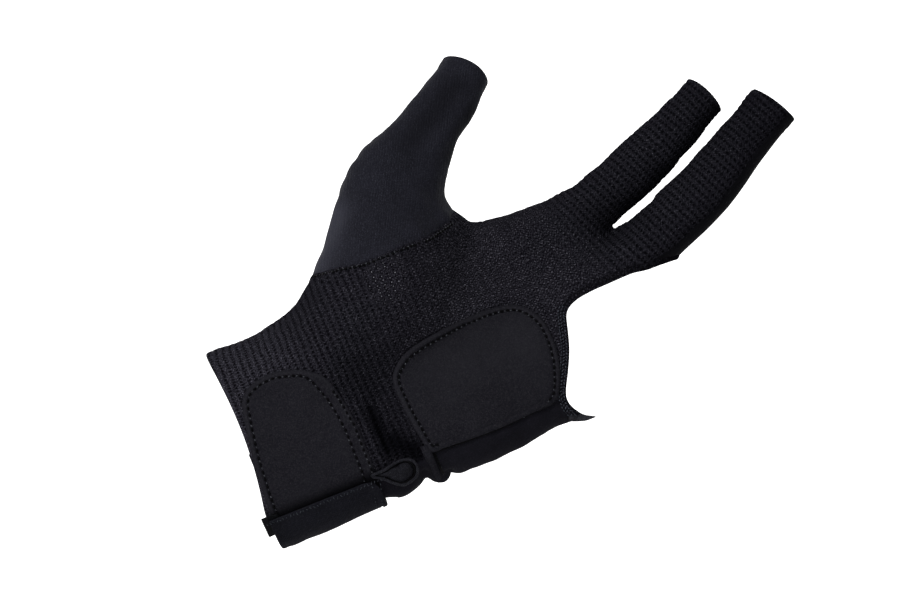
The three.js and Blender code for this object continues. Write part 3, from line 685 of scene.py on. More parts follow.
def panel_seam_depth(p):
    """The y at which the palm and back panels meet."""
    (i, to_index), (j, to_middle) = nearest_section(index, p), nearest_section(middle, p)
    y = np.where(to_index < to_middle, index["at"][i, 1], middle["at"][j, 1])
    share = np.clip(1 - (np.minimum(to_index, to_middle) + 2) / 14, 0, 1)
    palm = SEAM_AT_WRIST + 0.1 * p[:, 0] + 0.18 * p[:, 2]
    return palm * (1 - share) + (y + SEAM_BEHIND_FINGER) * share


def palm_side(p):
    near_edge = 4.5 * smoothstep(back_side(p), -5, -1) * smoothstep(p[:, 0], 80, 90)
    return np.minimum.reduce([panel_seam_depth(p) - near_edge - p[:, 1], -back_side(p), -finger_side(p)])


def seam_ease(p):
    """The panels overlap a little, and keep apart at the crotch."""
    return 0.84 * np.exp(-((p - CROTCH) ** 2).sum(1) / 25) - PANEL_OVERLAP


def past_strap_edge(p):
    a, b = STRAP_EDGE
    across = unit(np.array([b[1] - a[1], 0, a[0] - b[0]], float))
    return (p - (a[0], 0, a[1])) @ across


def strap_wrap(p):
    share = smoothstep(p[:, 1], -6, 10)
    return past_strap_edge(p) * (1 - share) + (p @ OUTWARD - STRAP_BACK_REACH) * share


def on_palm(p):
    return panel_seam_depth(p) - PAD_BEFORE_SEAM - p[:, 1]


# small waves, the same each run
rng = np.random.default_rng(11)


def make_waves(wavelength, count=24):
    turn = unit(rng.normal(size=(count, 3))) * (2 * math.pi / wavelength)
    turn = turn * rng.uniform(0.75, 1.35, (count, 1))
    phase = rng.uniform(0, 2 * math.pi, count)
    return lambda p: np.sin(p @ turn.T + phase).sum(1) / math.sqrt(count / 2)


soft_waves, cloth_waves, fine_waves = map(make_waves, (26, 9, 3.2))


# where a point lies in the cloth
def limb_frame(limb, p):
    """Sideways place and depth from the front of the nearest section of a limb."""
    k, _ = nearest_section(limb, p)
    at = limb["at"][k]
    direction = unit(limb["along"][k] * (1, 0, 1))
    across = np.stack([direction[:, 2], np.zeros(len(p)), -direction[:, 0]], 1)
    return ((p - at) * across).sum(1), p[:, 1] - (at[:, 1] - limb["depth"][k])


def wrapped(limb, p):
    """Sideways place on a limb, with the way round its side added."""
    side, deep = limb_frame(limb, p)
    return side + np.tanh(side / 6) * 0.6 * np.clip(deep, 0, 30)


def knit_place(p):
    """Row and column of the open knit, and how open it is."""
    palm_turn, finger_turn = math.radians(23.5), math.radians(47)
    palm_run = p[:, 0] * math.cos(palm_turn) + p[:, 2] * math.sin(palm_turn)
    finger_run = p[:, 0] * math.cos(finger_turn) + p[:, 2] * math.sin(finger_turn) + 3
    w = smoothstep(finger_run, 88, 138)
    u = palm_run * (1 - w) + finger_run * w
    rows = u / ROW_PITCH + 0.0011 * np.maximum(u - 60, 0) ** 1.35 + 0.04 * cloth_waves(p)
    on_finger = np.where(past_fork(p) > 0, wrapped(middle, p), wrapped(index, p) - 21.6)
    columns = wrapped(body, p) / COLUMN_PITCH * (1 - w) + on_finger / FINGER_COLUMN_PITCH * w
    columns = columns + 0.1 * fine_waves(p) + 0.12 * cloth_waves(p[:, ::-1])
    open_ends = np.maximum(smoothstep(u, 104, 14), smoothstep(u, 112, 140))
    thumb_side = smoothstep(-is_thumb(p), 30, 6) * smoothstep(u, 40, 60) * smoothstep(u, 100, 80)
    return np.stack([rows, columns, np.clip(0.42 + 0.58 * open_ends + 0.1 * thumb_side, 0, 1)], 1)


def knit_shade(p):
    """Painted shade in creases and on sides turned away, how far the knit is spread, and painted light."""
    u = p @ FINGERWARDS
    side = np.where(past_fork(p) > 0, limb_frame(middle, p)[0], limb_frame(index, p)[0]) - 1.5
    away = 0.45 * smoothstep(side, 0, 8) * smoothstep(u, 128, 146)
    dim = np.maximum.reduce([away] + [soft_spot(p, *spot) for spot in KNIT_SHADOWS])
    spread = smoothstep(np.hypot((p[:, 0] - 46.5) / 6, (p[:, 2] - 52.5) / 7), 1.3, 0.6) * (p[:, 1] < 8)
    # painted light: brightest at the cuff, dimmer towards the fingertips, lifted in the palm's middle
    light = CUFF_LIGHT - 0.58 * smoothstep(u, 14, 44) + soft_spot(p, *PALM_LIGHT)
    light -= 0.1 * smoothstep(u, 112, 150) + 0.16 * smoothstep(u, 160, 205)
    return np.stack([np.clip(0.9 * dim, 0, 1), spread, light], 1)


def eyelets(place):
    rows, columns, share = place.T
    row = np.round(rows)
    column = columns + 0.5 * (np.abs(row) % 2)
    down = (rows - row) * ROW_PITCH / EYELET_FORM[0]
    across = (column - np.round(column)) * COLUMN_PITCH / EYELET_FORM[1]
    return EYELET_DEPTH * np.exp(-down ** 2 - across ** 2) * share


def hem_rise(p, end, width=5.2, height=0.3):
    """A folded hem stands a little proud and dips at its stitch line."""
    d = end(p)
    return height * smoothstep(d, width + 0.5, width - 0.3) - 0.22 * ridge(d - width + 0.9, 0.45)


def seam_dip(d):
    return -SEAM_DEPTH * ridge(d, SEAM_REACH)


def pucker(p, d, along, reach=2.6, pitch=3.1, height=0.13):
    return height * np.sin(2 * math.pi * along / pitch + 2 * soft_waves(p)) * ridge(d, reach)


def cloth_unrest(p):
    return CLOTH_WAVE * cloth_waves(p) + SOFT_WAVE * soft_waves(p)


# materials
class Wire:
    """A value in a material that can be added, taken away and multiplied."""

    def __init__(self, socket):
        self.socket = socket
        self.tree = socket.id_data

    def __add__(self, other):
        return calc("ADD", self, other)

    def __sub__(self, other):
        return calc("SUBTRACT", self, other)

    def __mul__(self, other):
        return calc("MULTIPLY", self, other)


def feed(socket, value):
    """Links a wire to a socket, or writes a number or a colour in it."""
    if isinstance(value, Wire):
        value.tree.links.new(value.socket, socket)
    else:
        socket.default_value = (*value, 1) if socket.type == "RGBA" else value


def add_node(tree, kind, inputs, output=0, **settings):
    new = tree.nodes.new(kind)
    for key, value in settings.items():
        setattr(new, key, value)
    for key, value in inputs.items():
        feed(new.inputs[key], value)
    return Wire(new.outputs[output])


def calc(operation, *values, clamp=False):
    inputs = dict(enumerate(values))
    return add_node(values[0].tree, "ShaderNodeMath", inputs, operation=operation, use_clamp=clamp)


def object_place(tree):
    return add_node(tree, "ShaderNodeTexCoord", {}, "Object")


def parts_of(tree, title):
    """The three numbers that a piece keeps at each point under this title."""
    split = tree.nodes.new("ShaderNodeSeparateXYZ")
    feed(split.inputs[0], add_node(tree, "ShaderNodeAttribute", {}, "Vector", attribute_name=title))
    return map(Wire, split.outputs)


def noise(where, scale, detail=2.0, roughness=0.55):
    inputs = {"Vector": where, "Scale": scale, "Detail": detail, "Roughness": roughness}
    return add_node(where.tree, "ShaderNodeTexNoise", inputs, "Fac")


def ramp(value, low, high, to_low=0.0, to_high=1.0):
    inputs = dict(enumerate((value, low, high, to_low, to_high)))
    return add_node(value.tree, "ShaderNodeMapRange", inputs, interpolation_type="SMOOTHSTEP")


def mix_colour(share, first, second):
    return add_node(share.tree, "ShaderNodeMix", {0: share, 6: first, 7: second}, 2, data_type="RGBA")


def look(colour, roughness, specular, height=None, depth=0.0, sheen=0.0):
    """What goes into the inputs of a material's shader."""
    values = {"Base Color": colour, "Roughness": roughness, "Specular IOR Level": specular}
    values.update({"Sheen Weight": sheen, "Sheen Roughness": 0.45, "Sheen Tint": (0.6, 0.65, 0.8)})
    if height is not None:
        slope = {"Strength": 1.0, "Distance": depth, "Height": height}
        values["Normal"] = add_node(height.tree, "ShaderNodeBump", slope)
    return values


def material(name, paint, **details):
    new = bpy.data.materials.new(name)
    new.use_nodes = True
    for key, value in paint(new.node_tree, **details).items():
        feed(new.node_tree.nodes["Principled BSDF"].inputs[key], value)
    return new


def sine(value, period, shift):
    return calc("SINE", value * (2 * math.pi / period) + shift)


def mesh_knit(tree):
    rows, columns, share = parts_of(tree, "knit")
    dim, spread, light = parts_of(tree, "shade")
    where = object_place(tree)
    row = calc("ROUND", rows)
    column = columns + calc("PINGPONG", row, 1.0) * 0.5
    down = (rows - row) * (ROW_PITCH / EYELET_COLOUR[0])
    across = (column - calc("ROUND", column)) * (COLUMN_PITCH / EYELET_COLOUR[1])
    from_hole = down * down + across * across
    hole = ramp(from_hole, 1.6, 0.3) * ramp(share, 0.45, 0.95, 0.12, 0.74)
    sway = noise(where, 420, 1) * 3.6
    weave = sine(rows * ROW_PITCH, 1.2, sway) * 0.8 + 0.35
    weave = weave * sine(columns * COLUMN_PITCH, 1.05, sway)
    lump = ramp(from_hole, 1.0, 4.5, -0.03, 0.07) * ramp(share, 0.45, 0.95)
    grain = noise(where, 2600, 2, 0.6)
    tone = weave * ramp(share, 0.45, 0.95, 0.4, 0.14) + 0.42 + lump
    tone = tone + (grain - 0.5) * ramp(share, 0.45, 0.95, 3.5, 2.9)
    # the yarn's tone times the painted light from the "shade" layer
    lit = calc("MULTIPLY", tone, light, clamp=True)
    colour = mix_colour(lit, (0.0024, 0.0023, 0.0034), (0.036, 0.035, 0.045))
    # painted glints on the brightest yarn
    colour = mix_colour(ramp(tone, 0.8, 1.35) * light, colour, (0.13, 0.127, 0.15))
    # painted shade in creases and on the fingers' far sides
    colour = mix_colour(dim, colour, (0.0016, 0.0016, 0.0022))
    colour = mix_colour(hole, colour, (0.0012, 0.0012, 0.0017))
    pinhole = ramp(from_hole, 0.22, 0.04) * spread * ramp(grain, 0.4, 0.55)
    colour = mix_colour(pinhole, colour, (0.22, 0.22, 0.25))
    return look(colour, 0.8, 0.0, weave * 0.3 + grain * 0.7 - hole * 0.9, 0.0003)


def scaled(colour, by):
    return tuple(min(c * by, 1) for c in colour)


def plain_knit(tree, colour, glint, pitch, turn, speck_scale, sheen=0.0, roughness=0.8, depth=0.00012):
    """Ribs at a pitch in millimetres and a turn in degrees, with painted glints as light specks, painted
    sheen and shade.
    """
    where = object_place(tree)
    turned = {"Vector": where, "Rotation": (0, math.radians(turn), 0)}
    ribs = {
        "Vector": add_node(tree, "ShaderNodeMapping", turned), "Scale": 314.16 / pitch,
        "Distortion": 1.2, "Detail": 1.0, "Detail Scale": 2.0,
    }
    wave = add_node(tree, "ShaderNodeTexWave", ribs, "Fac", wave_type="BANDS", bands_direction="X")
    speck = noise(where, speck_scale)
    dim, painted_sheen, _ = parts_of(tree, "shade")
    tone = mix_colour(ramp(noise(where, 90, 3), 0.3, 0.7), scaled(colour, 0.85), scaled(colour, 1.15))
    # painted glints on the ribs, then painted sheen and painted shade from the "shade" layer
    tone = mix_colour(ramp(speck, 0.42, 0.75) * (wave * 0.7 + 0.3), tone, glint)
    tone = mix_colour(painted_sheen, tone, scaled(glint, 2.2))
    tone = mix_colour(dim, tone, scaled(colour, 0.25))
    return look(tone, roughness, 0.04, wave + speck * 0.9, depth, sheen)


def suede(tree):
    where = object_place(tree)
    nap = noise(where, 2600, 3, 0.7)
    brushed = noise(where, 1400, 3, 0.6)
    # the "shade" layer holds a painted highlight on the welt, painted shadow beside the strap and a spot of
    # painted light
    rim, shadow, light_spot = parts_of(tree, "shade")
    tone = (0.0060, 0.0058, 0.0083)
    for share, colour in (
        (ramp(noise(where, 90), 0.3, 0.7), (0.0080, 0.0078, 0.0107)),
        (ramp(brushed, 0.35, 0.68, 0, 0.55), (0.0142, 0.0138, 0.0172)),
        (ramp(nap, 0.46, 0.7, 0, 0.75), (0.0240, 0.0238, 0.0276)),
        (light_spot, (0.022, 0.0218, 0.0262)), (rim, (0.023, 0.0225, 0.027)), (shadow, (0.0012, 0.0012, 0.0016)),
    ):
        tone = mix_colour(share, tone, colour)
    return look(tone, 0.95, 0.02, nap + brushed * 0.8, 0.00016)


def yarn_paint(tree, colour, light, specular):
    fibre = noise(object_place(tree), 3000)
    return look(mix_colour(ramp(fibre, 0.35, 0.7), colour, light), 0.65, specular, fibre, 0.0001)


def floor_paint(tree):
    tone = mix_colour(noise(object_place(tree), 6), (0.86, 0.86, 0.86), (0.9, 0.9, 0.9))
    return look(tone, 0.9, 0.1)


def lit_paper(tree):
    tone = mix_colour(noise(object_place(tree), 3), (0.99, 0.99, 0.99), (1, 1, 1))
    return {**look((0.8, 0.8, 0.8), 1.0, 0.0), "Emission Color": tone, "Emission Strength": 1.02}


MESH_KNIT = material("mesh_knit", mesh_knit)
SMOOTH_KNIT = material(
    "smooth_knit", plain_knit, colour=(0.0054, 0.0052, 0.0077), glint=(0.0115, 0.011, 0.0155),
    pitch=0.45, turn=20, speck_scale=2400, roughness=0.85, depth=0.00006)
FINE_KNIT = material(
    "fine_knit", plain_knit, colour=(0.0082, 0.0083, 0.0124), glint=(0.034, 0.0347, 0.0466),
    pitch=0.52, turn=4, speck_scale=3200, sheen=0.012, roughness=0.75)
SUEDE = material("suede_patch", suede)
STRAP_FABRIC = material(
    "strap_fabric", plain_knit, colour=(0.0056, 0.0057, 0.0084), glint=(0.017, 0.0172, 0.0225),
    pitch=0.5, turn=22, speck_scale=2200, roughness=0.9, depth=0.00008)
HOOK = material(
    "hook_tape", yarn_paint, colour=(0.0015, 0.0015, 0.002), light=(0.006, 0.0065, 0.008), specular=0.05)
# the cloth tucked into the loop: its dark colour, lightened for a painted sheen
BOUND = material(
    "bound_edge", plain_knit, colour=(0.0062, 0.0062, 0.0084), glint=(0.025, 0.0255, 0.032),
    pitch=0.45, turn=40, speck_scale=2400, sheen=0.01, roughness=0.6)
THREAD = material(
    "thread", yarn_paint, colour=(0.016, 0.018, 0.021), light=(0.075, 0.08, 0.09), specular=0.1)
TEAL_THREAD = material(
    "teal_thread", yarn_paint, colour=(0.008, 0.0095, 0.0125), light=(0.035, 0.04, 0.049), specular=0.1)
PALE_THREAD = material(
    "pale_thread", yarn_paint, colour=(0.014, 0.0165, 0.022), light=(0.075, 0.085, 0.105), specular=0.05)
PALE_FABRIC = material(
    "pale_fabric", plain_knit, colour=(0.018, 0.018, 0.022), glint=(0.045, 0.045, 0.052),
    pitch=0.5, turn=10, speck_scale=2000)
LOOP_EDGE = material(
    "loop_edge", plain_knit, colour=(0.009, 0.009, 0.0118), glint=(0.03, 0.031, 0.038),
    pitch=0.45, turn=40, speck_scale=2400, sheen=0.01, roughness=0.6)
# near-black thread, also used for dark pieces of painted shade in holes, gaps and creases
DARK_THREAD_AND_SHADE = material(
    "dark_thread", yarn_paint, colour=(0.0008, 0.0008, 0.0011), light=(0.0022, 0.0022, 0.0028), specular=0.04)


# the panels
def wrist_line(p):
    return beyond_wrist(p, HEM_WIDTH + GAP)


base = mesh_form()
open_base = cut_all(base, [wrist_line, outside_opening, sleeve_end, lambda p: THUMB_OVERLAP - is_thumb(p)])
palm_cut = finer(cut(open_base, lambda p: palm_side(p) - seam_ease(p)))
back_cut = cut(open_base, lambda p: -palm_side(p) - seam_ease(p))
thumb_cut = cut_all(base, [lambda p: is_thumb(p) + THUMB_OVERLAP, thumb_end])


def finger_hem(p):
    rise = np.where(past_fork(p) > 0, hem_rise(p, middle_end), hem_rise(p, index_end))
    return rise * (diagonal(p) > 200)


def palm_high(p):
    under_pads = smoothstep(np.maximum(palm_pad_inside(p), wrist_pad_inside(p)), 0.0, -1.2)
    covered = np.minimum(under_pads, smoothstep(past_strap_edge(p), 0.5, -1.0))
    thumb_line, side_line = -is_thumb(p), palm_side(p)
    rise = 0.14 - eyelets(knit_place(p)) + 0.8 * cloth_unrest(p)
    rise += seam_dip(thumb_line) + seam_dip(side_line) + pucker(p, thumb_line, p[:, 0]) + finger_hem(p)
    rise += pucker(p, side_line, diagonal(p), 2.0, 3.4, 0.1)
    return np.minimum(rise, 0.6) * covered


def back_high(p):
    seam = -palm_side(p)
    calm = 1 - 0.85 * smoothstep(past_fork(p), -3, 3) * smoothstep(p @ FINGERWARDS, 110, 130)
    rise = 0.7 * calm * cloth_unrest(p) + seam_dip(seam) + seam_dip(is_thumb(p))
    rise += calm * pucker(p, seam, diagonal(p), 2.6, 3.6, 0.07) + finger_hem(p)
    return np.clip(rise, -0.6, 0.6) * np.where(p @ CUFF < 40, smoothstep(-strap_wrap(p), 0.0, 2.0), 1)


def back_shade(p):
    """Painted shade on the narrow strip beside the long finger, which is drawn tight."""
    strip = 0.75 * smoothstep(past_fork(p), 0, 5) * smoothstep(p @ FINGERWARDS, 118, 140)
    return np.stack([strip, 0 * strip, 0 * strip], 1)


def thumb_high(p):
    line = is_thumb(p)
    folds = pucker(p, line, p[:, 0], 2.2, 2.8, 0.1) + hem_rise(p, thumb_end, 4.2, 0.24)
    return 0.9 * cloth_unrest(p) + seam_dip(line) + folds


def thumb_shade(p):
    """Painted shade in a shallow fold along the thumb and on its side away from the light; a faint painted
    sheen.
    """
    dim = np.maximum.reduce([soft_spot(p, *spot) for spot in THUMB_SHADOWS])
    painted_sheen = soft_spot(p, *THUMB_LIGHT) * smoothstep(p[:, 1], 8, -6)
    return np.stack([dim, painted_sheen, 0 * dim], 1)


palm_cloth = sheet_object(
    "palm_cloth", finer(palm_cut), palm_high, -CLOTH, MESH_KNIT, "mesh_knit", "palm_panel",
    layers={"knit": knit_place, "shade": knit_shade}, inner=palm_cut, rim=3)
back_cloth = sheet_object(
    "back_cloth", finer(back_cut), back_high, -CLOTH, SMOOTH_KNIT, "smooth_knit", "back_panel",
    layers={"shade": back_shade})
thumb_cloth = sheet_object(
    "thumb_cloth", finer(thumb_cut), thumb_high, -CLOTH, FINE_KNIT, "fine_knit", "thumb_sleeve",
    layers={"shade": thumb_shade})


# the pads
def even_inset(p):
    return np.full(len(p), STITCH_INSET)


def wrist_inset(p):
    return STITCH_INSET + 2.2 * smoothstep(p @ CUFF, 27, 31) * smoothstep(p[:, 2], 24, 19)


# painted shadow on the wrist pad, darkest at the strap's edge
def painted_strap_shadow(p):
    return 0.85 * smoothstep(past_strap_edge(p), -6, 0.3) ** 3


def pad_object(name, node, cuts, inside, plain_side, inset, worn_share, dark):
    """A patch with a welt and a sunk stitch line, except along its plain side."""
    def high(p):
        e = inside(p)
        welt = 0.17 * ridge(e - 0.8, 0.5) - 0.32 * ridge(e - inset(p), 0.36)
        welt = welt * smoothstep(plain_side(p), 0.6, 2.4)
        lip = 0.25 * np.exp(-np.maximum(e, 0) / 0.25)
        return PAD_HIGH - 0.22 + welt + 0.1 * smoothstep(e, 2, 12) + 0.07 * cloth_waves(p) - lip

    def shade(p):
        # painted highlight along the welt, except on the plain side
        rim = 0.22 * ridge(inside(p) - 0.7, 0.5) * smoothstep(plain_side(p), 0.6, 2.4)
        # painted light, lighter over the palm pad's middle; the wrist pad's share is 0
        light_spot = soft_spot(p, *PAD_LIGHT_SPOT, worn_share) * smoothstep(inside(p), 1.5, 5)
        return np.stack([rim, dark(p), light_spot], 1)

    return sheet_object(
        name, finer(cut_all(pad_base, [on_palm, inside] + cuts)), high, PAD_LOW, SUEDE, "suede_patch", node,
        layers={"shade": shade}, bulge=0.2)


def below_strap(p):
    return 4 - past_strap_edge(p)


pad_base = finer(cut(base, lambda p: on_palm(p) + 3))
palm_pad = pad_object(
    "palm_pad_suede", "palm_pad", [], palm_pad_inside, lambda p: -back_side(p), even_inset, 0.25,
    lambda p: 0 * p[:, 0])
wrist_pad = pad_object(
    "wrist_pad_suede", "wrist_pad",
    [below_strap, lambda p: np.maximum(p @ CUFF - 3.9, -1.4 - past_strap_edge(p))],
    wrist_pad_inside, below_strap, wrist_inset, 0, painted_strap_shadow)


# the strap and the hook tape
def above_strap_foot(p):
    return p @ CUFF - STRAP_INSET


def strap_form(p):
    return smooth_min(STRAP_INSET + STRAP_WIDTH - p @ CUFF, strap_wrap(p), STRAP_BLEND)


def strap_high(p):
    e = np.minimum(above_strap_foot(p), strap_form(p))
    rise = 0.1 * cloth_waves(p) + 0.14 * ridge(e - 0.8, 0.6) - 0.22 * ridge(e - 1.9, 0.35)
    return STRAP_HIGH - 0.2 + rise


strap_cut = cut_all(finer(cut(base, lambda p: p @ CUFF + 4)), [above_strap_foot, strap_form])
strap = sheet_object(
    "closure_strap_cloth", strap_cut, strap_high, STRAP_LOW, STRAP_FABRIC, "strap_fabric", "closure_strap",
    bulge=0.25)
tape_cut = cut_all(finer(cut(base, lambda p: p @ CUFF + 6)), [
    lambda p: p @ CUFF + TAPE_REACH, lambda p: TAPE_TOP - p @ CUFF, lambda p: past_strap_edge(p) + 1,
    lambda p: np.minimum(
        TAPE_SIDE - p @ OUTWARD, TAPE_UNDER_STRAP - past_strap_edge(p) - np.maximum(p[:, 1] + 8, 0)),
])
tape = sheet_object(
    "hook_tape_base", finer(tape_cut), lambda p: PAD_HIGH - 0.2 + 0.1 * fine_waves(p), PAD_LOW,
    HOOK, "hook_tape", "hook_tape", bulge=0.2)


# lines, tubes and stitches
def flat_place(line):
    return np.stack([line[:, 0], np.zeros(len(line)), line[:, 1]], 1)


def front_of(line):
    """The points of the form's palm side that lie under these x, z places."""
    line = np.array(line, float)
    ys = np.arange(*FRONT_REACH, FRONT_STEP)
    p = np.repeat(flat_place(line), len(ys), 0)
    p[:, 1] = np.tile(ys, len(line))
    f = sample(p)[0].reshape(len(line), -1)
    i = np.flatnonzero((f < 0).any(1))
    k = np.maximum((f[i] < 0).argmax(1), 1)
    t = f[i, k - 1] / (f[i, k - 1] - f[i, k])
    return np.stack([line[i, 0], ys[k - 1] + FRONT_STEP * t, line[i, 1]], 1)


def run_of(points):
    """The length along a line up to each of its points."""
    return np.concatenate([[0], np.cumsum(length_of(np.diff(points, axis=0)))])


def even_line(points, spacing, closed=False):
    points = np.array(points, float)
    points = np.vstack([points, points[:1]]) if closed else points
    run = run_of(points)
    count = max(int(round(run[-1] / spacing)), 2)
    s = np.linspace(0, run[-1], count + 1)
    s = s[:-1] if closed else s
    return np.stack([np.interp(s, run, points[:, c]) for c in range(points.shape[1])], 1)


def tangents(points, closed=False):
    if closed:
        return unit(np.roll(points, -1, 0) - np.roll(points, 1, 0))
    return unit(np.gradient(points, axis=0))


def ring_faces(n, sides, closed=True):
    """The quads between rings of points that follow one another."""
    i = np.arange(n if closed else n - 1)
    j = (i + 1) % n
    faces = []
    for k in range(sides):
        m = (k + 1) % sides
        faces.append(np.stack([i * sides + k, i * sides + m, j * sides + m, j * sides + k], 1))
    return np.vstack(faces)


def rings_round(centre, side, up, half_side, half_up, sides, power=1):
    """The points of rings round a line. A power below 1 makes an oval ring squarer."""
    rings = []
    for a in 2 * math.pi * np.arange(sides) / sides:
        c, s = (np.sign(v) * abs(v) ** power for v in (math.cos(a), math.sin(a)))
        rings.append(centre + side * (c * half_side)[:, None] + up * (s * half_up)[:, None])
    return np.stack(rings, 1).reshape(-1, 3)


def tube(points, up, radius, sides=6, closed=False, flat=1.0):
    """Points and faces of a tube along a line. radius is one number or one for each point."""
    side = unit(np.cross(tangents(points, closed), up))
    up = np.cross(side, tangents(points, closed))
    n = len(points)
    radius = np.broadcast_to(radius, n)
    vertices = rings_round(points, side, up, radius, radius * flat, sides)
    faces = ring_faces(n, sides, closed)
    if not closed:
        k = np.arange(sides)
        m, end = (k + 1) % sides, (n - 1) * sides
        first = np.stack([np.full(sides, n * sides), m, k, k], 1)
        last = np.stack([np.full(sides, n * sides + 1), end + k, end + m, end + m], 1)
        vertices = np.vstack([vertices, points[:1], points[-1:]])
        faces = np.vstack([faces, first, last])
    return vertices, faces


def joined(parts):
    """Several sets of points and quad faces as one, with each quad as two triangles."""
    points, faces, count = [], [], 0
    for p, f in parts:
        points.append(p)
        faces.append(np.vstack([f[:, [0, 1, 2]], f[:, [0, 2, 3]]]) + count)
        count += len(p)
    faces = np.vstack(faces)
    good = (faces != np.roll(faces, 1, 1)).all(1)
    return np.vstack(points), faces[good]


def stitch(centre, along, up, length, radius, sink=0.0):
    """One stitch: a short arc of thread that dives at both ends."""
    s = np.linspace(-1, 1, 6)
    line = centre + np.outer(s * length / 2, along) + np.outer((1 - s ** 2) * radius * 1.3 - sink, up)
    return tube(line, up, radius * np.sqrt(np.clip(1.15 - s ** 2 * 0.75, 0.3, 1)))


def jitter(size):
    """A small random shift."""
    return rng.normal(size=3) * size


def offset_line(outline, inset, keep):
    """The longest part of an outline, moved inwards, where keep says so."""
    edge = close_round(outline, 8)
    t = unit(np.roll(edge, -1, 0) - np.roll(edge, 1, 0))
    inward = np.stack([-t[:, 1], t[:, 0]], 1)
    probe = edge + inward * 0.5
    if (inside_distance(edge, *probe.T) > 0).mean() < 0.5:
        inward = -inward
    line = edge
    for _ in range(6):
        line = edge + inward * inset(flat_place(line))[:, None]
    good = (inside_distance(edge, *line.T) > inset(flat_place(line)) - 0.25) & keep(flat_place(line))
    order = np.roll(np.arange(len(line)), -int(np.argmax(~good)))
    run = max(np.split(order, np.flatnonzero(~good[order])), key=len)
    return line[run[good[run]]]


def line_frame(line, spacing):
    """Even points along a line on the form, and the ways out, along and sideways at each."""
    line = even_line(line, spacing)
    out, along = normals(line), tangents(line)
    return line, out, along, np.cross(along, out)


def lockstitch(line, high, pitch, dash=0.42, outward=0.0, dot=0.36, radius=0.4):
    """A row of lockstitches: sunk dark dashes for the thread and painted shadow in the holes, and between
    them the light thread where it comes up.
    """
    for at, out, along, side in zip(*line_frame(front_of(line), pitch)):
        side = unit(side)
        wobble = jitter(0.05)
        turn = unit(along + 0.16 * side + jitter(0.05))
        dark_parts.append(stitch(at + out * high + wobble, turn, out, pitch * dash, radius, 0.12))
        spot = at + along * pitch * 0.5 + side * outward + out * (high + 0.12) + wobble
        length = dot * rng.uniform(0.6, 1.3)
        light_parts.append(
            stitch(spot, unit(along - 0.5 * side), out, length, LIGHT_STITCH_RADIUS * rng.uniform(0.7, 1.2)))


def before_strap(p):
    return past_strap_edge(p) < -0.6


dark_parts, light_parts, frayed = [], [], []
palm_row = offset_line(PALM_PAD, even_inset, lambda p: -back_side(p) > 1.9)
wrist_row = offset_line(WRIST_PAD, wrist_inset, before_strap)
outer_row = offset_line(
    WRIST_PAD, lambda p: even_inset(p) / 2, lambda p: before_strap(p) & (p @ CUFF > 33.5) & (p[:, 2] < 18))
thumb_row = np.array(THUMB_AREA[1:9]) + (0.5, -1.0)
below_pad_row = [(81.7, 6.2), (89.5, 9.0)]
lockstitch(palm_row, PAD_HIGH - PALM_ROW_SINK, pitch=2.05, outward=0.18)
lockstitch(wrist_row, PAD_HIGH - WRIST_ROW_SINK, pitch=2.3, dash=0.36, outward=0.12, dot=0.5)
lockstitch(outer_row, PAD_HIGH - OUTER_ROW_SINK, pitch=2.1, outward=0.1, dot=0.25)
lockstitch(thumb_row, 0.05, pitch=1.6, dash=0.45, outward=-0.25, dot=0.24, radius=0.42)
lockstitch(below_pad_row, 0.12, pitch=1.5, dash=0.3, outward=0, dot=0.3, radius=0.12)
# the frayed edge of the strap, and the two columns of its box stitch
strap_row = even_line(np.array(STRAP_EDGE) + (0.15, -0.34), 1.0)
for at, out, along, side in zip(*line_frame(front_of(strap_row), 1.15)):
    lean = unit(side * rng.choice([-1, 1]) + along * rng.uniform(0.2, 1.0))
    spot = at + out * (STRAP_HIGH - 0.1) + jitter(0.1)
    frayed.append(stitch(spot, lean, out, rng.uniform(0.5, 1.0), STITCH_RADIUS))
for column in ([(41.6, -10.2), (43.0, -19.2)], [(44.3, -10.6), (45.2, -18.0)]):
    frames = zip(*line_frame(front_of(even_line(column, 1.0)), 1.45))
    for k, (at, out, along, side) in enumerate(frames):
        spot = at + out * (STRAP_HIGH - 0.08) + jitter(0.06)
        if k not in (2, 3):
            frayed.append(stitch(spot, unit(along + jitter(0.3)), out, 0.7, STITCH_RADIUS))
# a dark tube along the palm pad's lower seam: its thread and painted shadow in the seam
seam_line = front_of(even_line(np.array(PALM_PAD[13:19]) - (0.15, 0.45), 0.8))
dark_parts.append(tube(seam_line + normals(seam_line) * 0.35, normals(seam_line), 0.3))
make_object("pad_stitch_holes", *joined(dark_parts), DARK_THREAD_AND_SHADE, "suede_patch")
make_object("pad_stitches", *joined(light_parts), THREAD, "suede_patch")
make_object("strap_stitches", *joined(frayed), TEAL_THREAD, "strap_fabric")


# edge of the side opening and hem of the wrist
def edge_line(distance, away, spacing):
    """The smoothed edge that a cut leaves, moved away from the cloth, with its ways sideways and up."""
    points, triangles = cut(base, distance)
    points = even_line(points[longest_loop(triangles)], spacing, True)
    for _ in range(3):
        points = settle(0.5 * points + 0.25 * (np.roll(points, 1, 0) + np.roll(points, -1, 0)), 2)
    up = normals(points)
    side = unit(np.cross(tangents(points, True), up))
    return points + side * away - up * CLOTH / 2, side, up


def band_tube(centre, side, up, half_side, half_up, wave, sides=12):
    """A closed band along an edge, with a low wave on its upper and lower sides."""
    widths = np.full(len(centre), half_side)
    points = rings_round(centre, side, up, widths, half_up + wave * fine_waves(centre), sides, 0.8)
    return joined([(points, ring_faces(len(centre), sides))])


# the binding takes the knit's painted shade and light, with more painted shade and a little less painted
# light
def binding_shade(p):
    return knit_shade(p) * (1, 1, 0.8) + (0.25, 0, 0)


